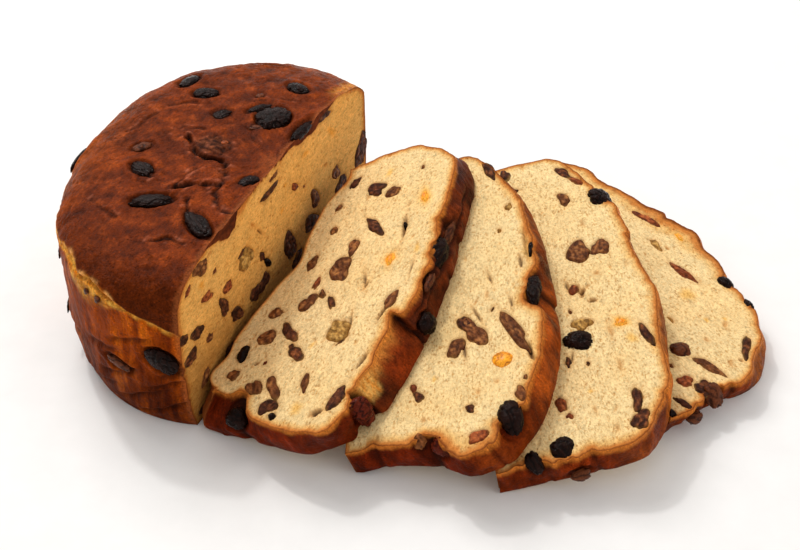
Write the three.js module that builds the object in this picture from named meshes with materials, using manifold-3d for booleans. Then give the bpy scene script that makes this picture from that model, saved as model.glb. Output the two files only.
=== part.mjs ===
// Barmbrack, the cut half of a round loaf with four slices fanned out beside it.
// Millimetres, +Z up, origin at the middle of the box at table height.
import * as THREE from 'three';
import { mergeVertices } from 'three/addons/utils/BufferGeometryUtils.js';
import Module from 'manifold-3d';

const wasm = await Module();
wasm.setup();

const DEG = Math.PI / 180;

// ---------------------------------------------------------------- loaf sizes
const BOX_CENTRE_X = 24.95;       // taken off every position below
const BOX_CENTRE_Y = 6.66;
const LOAF_X = -36.0;             // middle of the cut
const LOAF_Y = 13.2;
const CUT_HEADING = 67.7;         // direction of the cut, front to back
const ROUND_RADIUS = 97.7;        // the round the loaf was cut from
const ROUND_BEHIND = 25.0;        // its middle lies this far behind the cut
const LOAF_DEPTH_CHANGE = -22.0;  // shorter away from the cut than a true round
const LOBE_2 = -6.0;              // uneven plan, fuller towards the back
const LOBE_3 = 4.0;
const BACK_EXTRA = 4.7;
const LOAF_HEIGHT = 80.9;
const WALL_HEIGHT = 60.5;         // where the wall turns into the dome
const BASE_INSET = 5;             // rounding in under the wall
const BASE_ROUND = 6;             // how quickly the rounding is over
const DOME_P = 4.0;               // shoulder exponents, and those at the back of the cut
const DOME_Q = 2.6;
const BACK_P = 3.0;
const BACK_Q = 1.8;
const BACK_FROM = 2.0;            // plan angle where the back shoulder begins
const DOME_TILT = -0.01;          // per 100 mm towards the back
const WALL_SHARE = 0.42;          // share of the profile steps on the wall
const TOP_SWELLS = [              // [x, y, rise, spread] on the dome
  [-40, 45, -1.0, 45], [-40, -40, -1.0, 45], [-12, -5, -1.2, 16], [-66, -8, -1.0, 28],
];
const LOAF_TURNS = 40;
const LOAF_STEPS = 22;

// --------------------------------------------------------------- slice sizes
// x, y, z: middle of the lower base edge; heading of the base edge; lean up
// towards the crust; lift of the back end; thickness; half widths at the base
// and at the widest, front and back; height of the widest; full height; the
// two shoulder exponents; taper per 100 mm; swells [along, rise, spread]; the
// lower face's width and height against the upper one; pulls [along, up, by
// along, by up, reach, from, to] where the outline bulges or draws in, growing
// between two shares of the thickness.
const SLICES = [
  { x: -29.3, y: 0.4, z: 16.35, heading: 69.5, lean: 15.15, lift: 11.3, thick: 17,
    baseF: 84, baseB: 66, wideF: 90.6, wideB: 86, wideZ: 53.2, high: 70.8, p: 2.5, q: 2.15,
    taper: -0.04, swells: [[40, -1.7, 22], [-60, -1.3, 22]], lowU: 0.99, lowV: 1.07,
    pulls: [[-84, 1, 11, 0, 9, 0.35, 0.95], [-86, 13.5, 10.5, 0, 6, 0.35, 0.95],
      [-76, 0, 0, -10.5, 13, 0, 0.3], [-76, 0, 0, 9, 9, 0.45, 1], [-62, 0, 0, -5.5, 9.5, 0, 0.5],
      [-44, 0, 0, -5, 10, 0, 0.6], [-30, 0, 0, -2.5, 9, 0, 0.6], [4, 0, 0, 6, 13], [30, 0, 0, 4, 18],
      [60, 0, 0, 9, 15], [-62, 68, 0, -4.5, 7], [-40, 70, 0, -4.5, 13], [-27.5, 71, 0, -3, 4],
      [-12, 71, 0, 1.2, 9], [86, 52, -4.5, -4, 11], [-88, 58, 4, -5, 11, 1, 0], [-74, 67, 1, -8, 7, 0.9, 0.2],
      [-92, 57, 1.3, -1.6, 9, -1, 0]] },
  { x: 4.0, y: -9.7, z: 9.1, heading: 87.3, lean: 16.4, lift: 6.05, thick: 16,
    baseF: 87, baseB: 79, wideF: 98, wideB: 82.2, wideZ: 51.4, high: 82.4, p: 2.4, q: 1.9,
    taper: -0.10, swells: [[-35, 0.6, 25], [45, 0.8, 25]], lowU: 0.985, lowV: 1.05,
    pulls: [[-88, 2, -5, 0, 10, 0, 0.1], [-95, 36, 5.5, 0, 6.5], [-98, 48, -5, 0, 8, 0, 0.1],
      [-94, 61, -4, 0, 9, 0, 0.1], [-90, 71, 2.5, -4.5, 6], [-22, 84, 0, -8, 5.2], [-9, 83, 0, -5, 6],
      [55, 69, 0, -1.5, 8]] },
  { x: 50.7, y: -16.9, z: 6.45, heading: 94.6, lean: 9.75, lift: 3.85, thick: 15,
    baseF: 97, baseB: 90, wideF: 94.5, wideB: 95.3, wideZ: 46.6, high: 78.3, p: 2.95, q: 2.4,
    taper: -0.02, swells: [[-10, 3.2, 30], [70, -3.2, 25]], lowU: 0.98, lowV: 1.05,
    pulls: [[-60, 77, 0, 2.6, 18], [-12, 82, 0, 2.2, 18], [36, 77, 0, 3.6, 11], [54, 73, 0, 3.5, 8]] },
  { x: 91.6, y: -2.2, z: 0, heading: 116, lean: 0, lift: 0, thick: 14,
    baseF: 90, baseB: 88, wideF: 85.5, wideB: 98, wideZ: 39.6, high: 76.8, p: 3.0, q: 2.0,
    taper: 0, swells: [[55, -5, 25]], lowU: 0.975, lowV: 1.05,
    pulls: [[-42, 75, 0, 2.6, 13], [-12, 77, 0, 3.6, 14], [12, 76.5, 0, 3.8, 10], [-86, 27, 4.5, 0, 6],
      [-78, 59, 3, -4, 9], [-86, 22, 4.5, 0, 28, 1, 0],
      [12, 80, 0, 6.3, 14, -1, 0], [33, 74, 0, 7.1, 13, -1, 0], [56, 69, 0, 6.1, 15, -1, 0],
      [84, 61, 0, 7.2, 12, -1, 0], [-10, 80, 0, 1.8, 12, -1, 0], [96, 48, 3, 7, 11, -1, 0]] },
];
const CRUST_BULGE = 1.0;          // the crust swells between the two cuts
const BASE_SHARP = 8;             // swelling starts this far above the base
const SLICE_STEPS = 40;           // profile steps on each side
const BASE_STEPS = 14;
const MID_RATIO = 0.45;           // middle of the face, share of the height
const PULL_FROM = 0.10;           // where a pull begins and ends to grow, unless it says
const PULL_TO = 0.95;

// --------------------------------------------------------------- fruit sizes
// Fruit standing out of a crust or a cut face. On the loaf, at is x, y, z from
// the middle of the round; on a slice it is along the base, up the face and
// off the lower face. half: half sizes; turn: in the surface; out: the way up.
const FIT_GAP = 0.35;             // socket clearance
const FRUIT_TURNS = 12;
const FRUIT_RINGS = 7;
const LOAF_FRUIT = [
  { name: 'raisin_top_1', at: [-18.4, 34.6, 79.3], half: [9.8, 8.2, 4.6], turn: 108, out: [0, 0.04, 1] },
  { name: 'raisin_top_2', at: [-38.6, -44.0, 78.9], half: [9.0, 4.4, 3.0], turn: 23, out: [-0.05, -0.03, 1] },
  { name: 'raisin_top_3', at: [-11.0, -52.8, 79.6], half: [10.0, 4.2, 3.0], turn: -38, out: [0, -0.05, 1] },
  { name: 'raisin_top_4', at: [-60.0, 45.6, 77.4], half: [6.4, 4.8, 3.4], turn: 10, out: [-0.08, 0.08, 1] },
  { name: 'raisin_top_5', at: [-42.9, 30.1, 78.3], half: [4.8, 4.0, 2.4], turn: 60, out: [-0.02, 0.02, 1] },
  { name: 'raisin_top_6', at: [-20.8, 66.4, 76.9], half: [6.2, 4.6, 3.2], turn: -27, out: [0.02, 0.14, 0.99] },
  { name: 'raisin_top_7', at: [-55.2, -23.0, 78.1], half: [7.2, 4.2, 2.8], turn: -32, out: [-0.08, 0, 1] },
  { name: 'raisin_side_1', at: [-8.8, -96.2, 39.6], half: [8.2, 5.2, 3.6], turn: -24, out: [0, -1, 0] },
];
const SLICE_FRUIT = [
  [{ name: 'raisin_slice_1a', at: [16.3, 70.4, 11.4], half: [9.0, 4.8, 4.0], turn: 0, out: [0, 0.90, 0.43] },
   { name: 'raisin_slice_1b', at: [-71.6, 66.6, 11.2], half: [4.6, 6.0, 3.9], turn: 0, out: [-0.35, 0.85, 0.35] }],
  [{ name: 'raisin_slice_2a', at: [-85.6, 69.4, 14.4], half: [7.8, 5.4, 4.2], turn: 12, out: [-0.15, 0.2, 1] },
   { name: 'raisin_slice_2b', at: [-13.0, 80.6, 13.0], half: [7.0, 3.6, 3.2], turn: 0, out: [0, 0.8, 0.6] },
   { name: 'peel_slice_2', at: [-54.7, 66.6, 15.2], half: [4.6, 4.4, 2.4], turn: 20, out: [0, 0, 1] }],
  [{ name: 'raisin_slice_3a', at: [-32.0, 45.3, 14.2], half: [6.5, 5.8, 3.2], turn: 70, out: [0, 0, 1] },
   { name: 'raisin_slice_3b', at: [-88.2, 29.5, 13.4], half: [4.6, 4.4, 3.4], turn: 0, out: [-0.2, 0, 1] },
   { name: 'raisin_slice_3c', at: [60.0, 71.6, 13.2], half: [6.4, 5.2, 3.8], turn: 0, out: [0.1, 0.55, 0.83] }],
  [{ name: 'raisin_slice_4a', at: [-25.6, 76.4, 12.6], half: [4.6, 3.8, 3.0], turn: 0, out: [0, 0.5, 0.87] },
   { name: 'raisin_slice_4b', at: [-55.5, 29.6, 13.2], half: [5.2, 4.6, 2.6], turn: 35, out: [0, 0, 1] }],
];

// --------------------------------------------------------------- materials
function material(hex, roughness) {
  return new THREE.MeshStandardMaterial({ color: new THREE.Color(hex), roughness, metalness: 0 });
}
const COLOUR = { loaf: 0x6e3417, slice: 0xe8c98c, raisin: 0x2a1512, peel: 0xe89018 };

// --------------------------------------------------------------- mesh helpers
function geometry(points, faces) {
  let volume = 0;
  for (const [a, b, c] of faces) {
    const [p, q, r] = [points[a], points[b], points[c]];
    volume += p[0] * (q[1] * r[2] - q[2] * r[1]) + p[1] * (q[2] * r[0] - q[0] * r[2])
      + p[2] * (q[0] * r[1] - q[1] * r[0]);
  }
  const g = new THREE.BufferGeometry();
  g.setAttribute('position', new THREE.Float32BufferAttribute(points.flat(), 3));
  g.setIndex(faces.map((f) => (volume < 0 ? [f[0], f[2], f[1]] : f)).flat());
  return g;
}
function toSolid(source) {
  let g = source.clone();
  g.deleteAttribute('normal');
  g.deleteAttribute('uv');
  g = mergeVertices(g, 1e-4);
  return new wasm.Manifold(new wasm.Mesh({
    numProp: 3,
    vertProperties: new Float32Array(g.attributes.position.array),
    triVerts: new Uint32Array(g.index.array),
  }));
}
function fromSolid(solid) {
  const m = solid.getMesh();
  const g = new THREE.BufferGeometry();
  g.setAttribute('position', new THREE.BufferAttribute(new Float32Array(m.vertProperties), 3));
  g.setIndex(new THREE.BufferAttribute(new Uint32Array(m.triVerts), 1));
  g.computeVertexNormals();
  return g;
}
const clamp = (t) => Math.min(1, Math.max(0, t));

// --------------------------------------------------------------- loaf shape
function loafRadius(a) {
  const r = ROUND_RADIUS + LOAF_DEPTH_CHANGE * Math.sin(a) ** 2;
  return ROUND_BEHIND * Math.sin(a) + Math.sqrt(r ** 2 - (ROUND_BEHIND * Math.cos(a)) ** 2)
    + LOBE_2 * Math.sin(2 * a) + LOBE_3 * Math.sin(3 * a) + BACK_EXTRA * (1 - Math.cos(a)) / 2;
}
// a runs from the front of the cut (0) round to its back (pi); t from the base
// edge (0) to the top of the dome (1)
function loafPoint(a, t) {
  const wide = loafRadius(a);
  const base = wide - BASE_INSET;
  const k = clamp((a - BACK_FROM) / (Math.PI - BACK_FROM));
  const w = k * k * (3 - 2 * k);
  let r; let z;
  if (t < WALL_SHARE) {
    z = WALL_HEIGHT * t / WALL_SHARE;
    r = base + (wide - base) * (1 - (1 - z / WALL_HEIGHT) ** BASE_ROUND);
  } else {
    const s = clamp((t - WALL_SHARE) / (1 - WALL_SHARE)) * Math.PI / 2;
    r = wide * Math.max(Math.cos(s), 0) ** (2 / (DOME_P + (BACK_P - DOME_P) * w));
    z = WALL_HEIGHT + (LOAF_HEIGHT - WALL_HEIGHT) * Math.sin(s) ** (2 / (DOME_Q + (BACK_Q - DOME_Q) * w));
  }
  const x = -Math.sin(a) * r;
  const y = -Math.cos(a) * r;
  z *= 1 + DOME_TILT * y / 100 * clamp(z / LOAF_HEIGHT);
  for (const [sx, sy, rise, spread] of TOP_SWELLS) {
    z += rise * Math.exp(-((x - sx) ** 2 + (y - sy) ** 2) / spread ** 2) * clamp(z / LOAF_HEIGHT) ** 6;
  }
  return [x, y, z];
}
function loafGeometry() {
  const points = []; const faces = []; const id = [];
  let top = -1;
  for (let i = 0; i <= LOAF_TURNS; i++) {
    id.push([]);
    for (let j = 0; j <= LOAF_STEPS; j++) {
      if (j === LOAF_STEPS && top >= 0) { id[i].push(top); continue; }
      const p = loafPoint(Math.PI * i / LOAF_TURNS, j / LOAF_STEPS);
      if (i === 0 || i === LOAF_TURNS) p[0] = 0;
      if (j === LOAF_STEPS) { p[0] = 0; p[1] = 0; top = points.length; }
      id[i].push(points.length);
      points.push(p);
    }
  }
  for (let i = 0; i < LOAF_TURNS; i++) {
    for (let j = 0; j < LOAF_STEPS; j++) {
      faces.push([id[i][j], id[i + 1][j + 1], id[i + 1][j]]);
      if (j < LOAF_STEPS - 1) faces.push([id[i][j], id[i][j + 1], id[i + 1][j + 1]]);
    }
  }
  const foot = points.push([0, 0, 0]) - 1;
  for (let i = 0; i < LOAF_TURNS; i++) faces.push([foot, id[i][0], id[i + 1][0]]);
  const middle = points.push([0, 0, LOAF_HEIGHT / 2]) - 1;
  const loop = [];
  for (let j = 0; j <= LOAF_STEPS; j++) loop.push(id[0][j]);
  for (let j = LOAF_STEPS - 1; j >= 0; j--) loop.push(id[LOAF_TURNS][j]);
  loop.push(foot);
  for (let k = 0; k < loop.length; k++) faces.push([middle, loop[(k + 1) % loop.length], loop[k]]);
  return geometry(points, faces);
}

// --------------------------------------------------------------- slice shape
// closed loop [along, up]: front wall, dome, back wall, then the base
function sliceLoop(s) {
  const wall = Math.floor(SLICE_STEPS * 0.3);
  const side = (base, wide) => {
    const out = [];
    for (let i = 0; i < wall; i++) {
      const z = s.wideZ * i / wall;
      out.push([base + (wide - base) * Math.sin(Math.PI / 2 * z / s.wideZ) ** 1.5, z]);
    }
    const n = SLICE_STEPS - wall;
    for (let i = 0; i < n; i++) {
      const a = i / (n - 1) * Math.PI / 2;
      out.push([wide * Math.max(Math.cos(a), 0) ** (2 / s.p),
        s.wideZ + (s.high - s.wideZ) * Math.sin(a) ** (2 / s.q)]);
    }
    return out;
  };
  const front = side(s.baseF, s.wideF).map(([x, z]) => [-x, z]);
  const back = side(s.baseB, s.wideB).reverse().slice(1);
  const loop = front.concat(back).map(([u, v]) => {
    let h = v * (1 + s.taper * u / 100);
    for (const [at, rise, spread] of s.swells) {
      h *= 1 + rise / s.high * Math.exp(-(((u - at) / spread) ** 2)) * clamp(h / s.high) ** 2;
    }
    return [u, h];
  });
  const [from, to] = [loop[loop.length - 1][0], loop[0][0]];
  for (let i = 1; i < BASE_STEPS - 1; i++) loop.push([from + (to - from) * i / (BASE_STEPS - 1), 0]);
  return loop;
}
// local axes: +x to the front, +y up the face, +z off the lower face
function sliceGeometry(s) {
  const loop = sliceLoop(s); const n = loop.length;
  const mid = s.high * MID_RATIO;
  const points = []; const faces = []; const rings = 3;
  for (let k = 0; k <= rings; k++) {
    const f = k / rings;
    const su = s.lowU + (1 - s.lowU) * f;
    const sv = s.lowV + (1 - s.lowV) * f;
    const bulge = CRUST_BULGE * 4 * f * (1 - f);
    for (const [u, v] of loop) {
      const far = Math.hypot(u, v - mid);
      const share = bulge * clamp(v / BASE_SHARP) / far;
      let along = u * su + share * u; let up = v * sv + share * (v - mid);
      for (const [at, high, byU, byV, reach, from = PULL_FROM, to = PULL_TO] of s.pulls) {
        const t = clamp((f - from) / (to - from));
        const pull = t * t * (3 - 2 * t) * Math.exp(-((u - at) ** 2 + (v - high) ** 2) / reach ** 2);
        along += byU * pull; up += byV * pull;
      }
      points.push([-along, up, s.thick * f]);
    }
  }
  for (let k = 0; k < rings; k++) {
    for (let i = 0; i < n; i++) {
      const j = (i + 1) % n;
      const [a, b, c, d] = [k * n + i, k * n + j, (k + 1) * n + j, (k + 1) * n + i];
      faces.push([a, b, c], [a, c, d]);
    }
  }
  const low = points.push([0, mid, 0]) - 1;
  const high = points.push([0, mid, s.thick]) - 1;
  for (let i = 0; i < n; i++) {
    const j = (i + 1) % n;
    faces.push([low, j, i], [high, rings * n + i, rings * n + j]);
  }
  return geometry(points, faces);
}

// --------------------------------------------------------------- fruit shape
function fruitGeometry(half, grow) {
  const points = []; const faces = [];
  const [a, b, c] = half.map((h) => h + grow);
  const bottom = points.push([0, 0, -c]) - 1;
  for (let j = 1; j < FRUIT_RINGS; j++) {
    const e = Math.PI * (j / FRUIT_RINGS - 0.5);
    for (let i = 0; i < FRUIT_TURNS; i++) {
      const t = 2 * Math.PI * i / FRUIT_TURNS;
      const k = 1 + 0.05 * Math.sin(2 * t + 0.7) + 0.04 * Math.sin(3 * t);
      points.push([a * k * Math.cos(e) * Math.cos(t), b * k * Math.cos(e) * Math.sin(t), c * Math.sin(e)]);
    }
  }
  const top = points.push([0, 0, c]) - 1;
  const at = (j, i) => 1 + (j - 1) * FRUIT_TURNS + (i % FRUIT_TURNS);
  for (let i = 0; i < FRUIT_TURNS; i++) {
    faces.push([bottom, at(1, i + 1), at(1, i)], [top, at(FRUIT_RINGS - 1, i), at(FRUIT_RINGS - 1, i + 1)]);
    for (let j = 1; j < FRUIT_RINGS - 1; j++) {
      faces.push([at(j, i), at(j, i + 1), at(j + 1, i + 1)], [at(j, i), at(j + 1, i + 1), at(j + 1, i)]);
    }
  }
  return geometry(points, faces);
}
// flip: slice fruit is listed front-negative, the local x axis runs to the front
function fruitPose(f, flip) {
  const sx = flip ? -1 : 1;
  const z = new THREE.Vector3(f.out[0] * sx, f.out[1], f.out[2]).normalize();
  const x = new THREE.Vector3(Math.abs(z.x) > 0.9 ? 0 : 1, Math.abs(z.x) > 0.9 ? 1 : 0, 0);
  x.addScaledVector(z, -x.dot(z)).normalize();
  const y = new THREE.Vector3().crossVectors(z, x);
  const m = new THREE.Matrix4().makeBasis(x, y, z);
  m.multiply(new THREE.Matrix4().makeRotationZ(f.turn * DEG));
  m.setPosition(f.at[0] * sx, f.at[1], f.at[2]);
  return m;
}
// bread with a socket for each fruit, and the fruit, in one local frame
function assemble(holder, name, bread, colour, fruit, flip) {
  let solid = toSolid(bread);
  for (const f of fruit) {
    const m = fruitPose(f, flip);
    solid = solid.subtract(toSolid(fruitGeometry(f.half, FIT_GAP).applyMatrix4(m)));
  }
  const mesh = new THREE.Mesh(fromSolid(solid), material(colour, 0.7));
  mesh.name = name;
  holder.add(mesh);
  for (const f of fruit) {
    const g = fruitGeometry(f.half, 0);
    g.computeVertexNormals();
    const piece = new THREE.Mesh(g, material(f.name.startsWith('peel') ? COLOUR.peel : COLOUR.raisin, 0.45));
    piece.name = f.name;
    fruitPose(f, flip).decompose(piece.position, piece.quaternion, piece.scale);
    holder.add(piece);
  }
}

const group = new THREE.Group();
group.name = 'barmbrack';

const loafHolder = new THREE.Group();
loafHolder.position.set(LOAF_X - BOX_CENTRE_X, LOAF_Y - BOX_CENTRE_Y, 0);
loafHolder.rotation.z = (CUT_HEADING - 90) * DEG;
assemble(loafHolder, 'loaf', loafGeometry(), COLOUR.loaf, LOAF_FRUIT, false);
group.add(loafHolder);

SLICES.forEach((s, i) => {
  const holder = new THREE.Group();
  holder.position.set(s.x - BOX_CENTRE_X, s.y - BOX_CENTRE_Y, s.z);
  holder.rotation.set(s.lean * DEG, s.lift * DEG, (s.heading + 180) * DEG, 'ZYX');
  assemble(holder, `slice_${i + 1}`, sliceGeometry(s), COLOUR.slice, SLICE_FRUIT[i], true);
  group.add(holder);
});

export default group;
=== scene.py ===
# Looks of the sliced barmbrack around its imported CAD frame. Sizes in mm until
# the meshes are made, then metres. Everything is computed from the sizes and
# small tables below; every random choice has a fixed seed.
import math
import bpy
import numpy as np
from mathutils import Matrix, Vector
from mathutils.geometry import delaunay_2d_cdt


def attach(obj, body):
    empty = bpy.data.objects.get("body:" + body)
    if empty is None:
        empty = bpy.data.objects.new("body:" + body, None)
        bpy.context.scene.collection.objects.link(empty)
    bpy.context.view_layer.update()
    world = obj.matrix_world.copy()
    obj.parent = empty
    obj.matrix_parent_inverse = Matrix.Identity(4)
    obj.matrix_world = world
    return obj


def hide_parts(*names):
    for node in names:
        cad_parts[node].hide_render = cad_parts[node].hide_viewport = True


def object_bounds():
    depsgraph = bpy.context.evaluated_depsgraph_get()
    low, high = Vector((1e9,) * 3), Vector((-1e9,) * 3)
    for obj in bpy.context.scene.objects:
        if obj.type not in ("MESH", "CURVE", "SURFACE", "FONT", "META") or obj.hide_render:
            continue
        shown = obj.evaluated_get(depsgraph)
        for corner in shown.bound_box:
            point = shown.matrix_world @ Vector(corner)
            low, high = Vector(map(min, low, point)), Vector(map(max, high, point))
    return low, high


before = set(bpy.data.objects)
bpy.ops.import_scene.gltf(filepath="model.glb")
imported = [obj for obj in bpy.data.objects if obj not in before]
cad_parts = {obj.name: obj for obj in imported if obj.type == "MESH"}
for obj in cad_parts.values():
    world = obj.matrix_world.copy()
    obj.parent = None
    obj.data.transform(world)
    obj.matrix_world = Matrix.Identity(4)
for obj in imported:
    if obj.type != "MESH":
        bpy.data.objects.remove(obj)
CAD_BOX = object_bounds()

A = np.array
MM = 0.001
SHIFT = A([-24.95, -6.66, 0.0])

# ------------------------------------------------------------------ sizes, mm
LOAF = dict(cx=-36.0, cy=13.2, psi=67.7, c0=25.0, R=97.7, RL=-22.0, l2=-6.0, l3=4.0, lb=4.7, inset=5.0, hb=60.5,
            H=80.9, p=4.0, q=2.6, pb=3.0, qb=1.8, kb=6.0, tilt=-.01)
TOP_BUMPS = [(-40, 45, -1.0, 45), (-40, -40, -1.0, 45), (-12, -5, -1.2, 16), (-66, -8, -1.0, 28)]
SLICES = [
    dict(x=-29.3, y=0.4, z=16.35, psi=69.5, th=15.15, phi=11.3, T=17., bf=84., bb=66., wf=90.6, wb=86., hb=53.2,
         H=70.8, p=2.5, q=2.15, sl=-.04, bumps=[(40, -1.7, 22), (-60, -1.3, 22)], ou=.99, ov=1.07),
    dict(x=4.0, y=-9.7, z=9.1, psi=87.3, th=16.4, phi=6.05, T=16., bf=87., bb=79., wf=98., wb=82.2, hb=51.4,
         H=82.4, p=2.4, q=1.9, sl=-.10, bumps=[(-35, .6, 25), (45, .8, 25)], ou=.985, ov=1.05),
    dict(x=50.7, y=-16.9, z=6.45, psi=94.6, th=9.75, phi=3.85, T=15., bf=97., bb=90., wf=94.5, wb=95.3, hb=46.6,
         H=78.3, p=2.95, q=2.4, sl=-.02, bumps=[(-10, 3.2, 30), (70, -3.2, 25)], ou=.98, ov=1.05),
    dict(x=91.6, y=-2.2, z=0., psi=116., th=0., phi=0., T=14., bf=90., bb=88., wf=85.5, wb=98., hb=39.6,
         H=76.8, p=3.0, q=2., sl=0., bumps=[(55, -5, 25)], ou=.975, ov=1.05),
]
FACE_STEP = 0.66      # spacing of the points of a cut face
BAND_STEP = 0.62      # spacing along and across a slice's crust

# Where a slice's cut edge leaves its plain outline: u, v, du, dv, reach and the
# shares of the thickness between which the change grows
PULLS = [
    [(-84, 1, 11, 0, 9, 0.35, 0.95), (-86, 13.5, 10.5, 0, 6, 0.35, 0.95), (-76, 0, 0, -10.5, 13, 0, 0.3), (-76, 0, 0, 9, 9, 0.45, 1),
     (-62, 0, 0, -5.5, 9.5, 0, 0.5), (-44, 0, 0, -5, 10, 0, 0.6), (-30, 0, 0, -2.5, 9, 0, 0.6), (4, 0, 0, 6, 13), (30, 0, 0, 4, 18),
     (60, 0, 0, 9, 15), (-62, 68, 0, -4.5, 7), (-40, 70, 0, -4.5, 13), (-27.5, 71, 0, -3, 4), (-12, 71, 0, 1.2, 9), (86, 52, -4.5, -4, 11),
     (-88, 58, 4, -5, 11, 1, 0), (-74, 67, 1, -8, 7, 0.9, 0.2), (-92, 57, 1.3, -1.6, 9, -1, 0)],
    [(-88, 2, -5, 0, 10, 0, 0.1), (-95, 36, 5.5, 0, 6.5), (-98, 48, -5, 0, 8, 0, 0.1), (-94, 61, -4, 0, 9, 0, 0.1), (-90, 71, 2.5, -4.5, 6),
     (-22, 84, 0, -8, 5.2), (-9, 83, 0, -5, 6), (55, 69, 0, -1.5, 8), (-70, 80, 0, -1.2, 6)],
    [(-60, 77, 0, 2.6, 18), (-12, 82, 0, 2.2, 18), (36, 77, 0, 3.6, 11), (54, 73, 0, 3.5, 8), (-96, 25, -1, 0, 6), (-96, 10, 1.5, 0, 5)],
    [(-42, 75, 0, 2.6, 13), (-12, 77, 0, 3.6, 14), (12, 76.5, 0, 3.8, 10), (-86, 27, 4.5, 0, 6), (-88, 44, 1, 0, 6), (-88, 8, -1, 0, 8),
     (-78, 59, 3, -4, 9), (-86, 22, 4.5, 0, 28, 1, 0),
     (12, 80, 0, 6.3, 14, -1, 0), (33, 74, 0, 7.1, 13, -1, 0), (56, 69, 0, 6.1, 15, -1, 0), (84, 61, 0, 7.2, 12, -1, 0), (-10, 80, 0, 1.8, 12, -1, 0), (96, 48, 3, 7, 11, -1, 0)],
]
# Creases that run across a slice's crust: u, v, depth, half width, lift on the far side, reach of the lift
CREASES = [
    [(-26, 71, 3.6, 1.3, 1.9, 10), (-67, 66, 3.4, 2.4, 0.8, 8), (34, 68, 1.2, 2.5, 0.8, 9), (-86, 14, 3.0, 3.2, 0.5, 6), (12, 70, .8, 1.8, .6, 8)],
    [(-16, 83, 2.5, 3.5, 1.2, 9), (-92, 36, 2.2, 3.2, 0.6, 8), (-93, 60, 1.4, 1.8, 0.6, 7), (-89, 12, 1.2, 2.4, 0.7, 8)],
    [(30, 79, 1.0, 2.0, 0.8, 8), (-95, 40, 1.4, 2.4, 0.5, 8), (-96, 21, 1.4, 2.0, 0.6, 6), (-70, 74, .7, 2, .4, 8)],
    [(-85, 36, 1.6, 2.6, .6, 8), (30, 74, 1.2, 2.4, .6, 8), (-88, 16, 1.2, 2, .5, 6)],
]

# Fruit and openings in the cut faces: u, v, half length, half width, turn, kind.
# K black and whole, D dark, B brown, R reddish, T tan, O peel, Y stain,
# H opening, S thin opening, Z small dent
FACE_LOAF = [
    (89, 33, 11, 6, 65, 'D'), (58, 38, 5, 3.5, -60, 'B'), (64, 25, 8.5, 6.5, -45, 'D'), (66, 15, 5, 3, -30, 'D'),
    (33, 39, 7.5, 3.5, -55, 'B'), (28, 28, 9, 4, -15, 'D'), (4, 31, 8, 6.2, -60, 'D'), (-23.5, 44, 3.0, 2.3, -60, 'D'),
    (-19.5, 37.8, 3.2, 1.9, -50, 'K'), (-33, 29.5, 4.6, 4.2, 10, 'D'), (-24, 29.5, 5.6, 4.4, 0, 'D'), (-50, 31, 6, 3.6, -40, 'D'),
    (-60.5, 43, 6, 3.4, -65, 'D'), (-56, 50.5, 4.2, 3.0, -20, 'R'), (-38, 53, 7.5, 5.0, -30, 'T'), (-41, 58.6, 3.6, 1.2, 10, 'D'),
    (-73, 58, 5.0, 2.5, -22, 'R'), (-65, 66, 1.7, 1.4, 0, 'B'), (-75.5, 75, 6, 3.8, -8, 'B'), (-77, 67.5, 3.0, 2.4, 0, 'Y'),
    (-87, 71.5, 3.2, 1.6, 20, 'R'), (-95, 51.5, 3.4, 3.0, -30, 'D'), (-84, 47, 6.6, 2.9, -30, 'D'), (-91, 39, 6.4, 3.2, 0, 'D'),
    (-75, 37, 3.0, 2.2, 0, 'B'), (-12, 72, 8.5, 2.3, 0, 'D'), (-7, 77, 4.6, 1.3, 5, 'B'), (13, 58.5, 4.0, 2.0, -35, 'R'),
    (22, 53, 1.3, .9, 0, 'B'), (3, 66, 2.2, 1.4, -20, 'Y'), (25, 69.5, 5.5, 1.6, -10, 'Y'), (54, 64.5, 8, 2.2, -40, 'Y'),
    (-2, 55, 2.4, 1.6, 10, 'Y'), (48, 76.5, 7.5, 1.8, -3, 'D'), (10, 18, 5.5, 3.8, 20, 'D'), (-60, 17, 5, 3.4, -30, 'D'),
    (-82, 20, 4.6, 3.2, 40, 'B'), (-35, 12, 6, 3.4, 15, 'D'), (38, 11, 5.2, 3.0, -35, 'B'), (82, 9, 5.5, 3.2, 10, 'D'),
    (-12, 8, 4.2, 2.6, 60, 'B'), (-88, 6, 3, 2, 0, 'D'), (46, 50, 1.6, .8, -30, 'Z'), (-30, 66, 2.0, .7, -40, 'Z'), (-24, 58, 3.0, .5, -50, 'S'),
]
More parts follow.
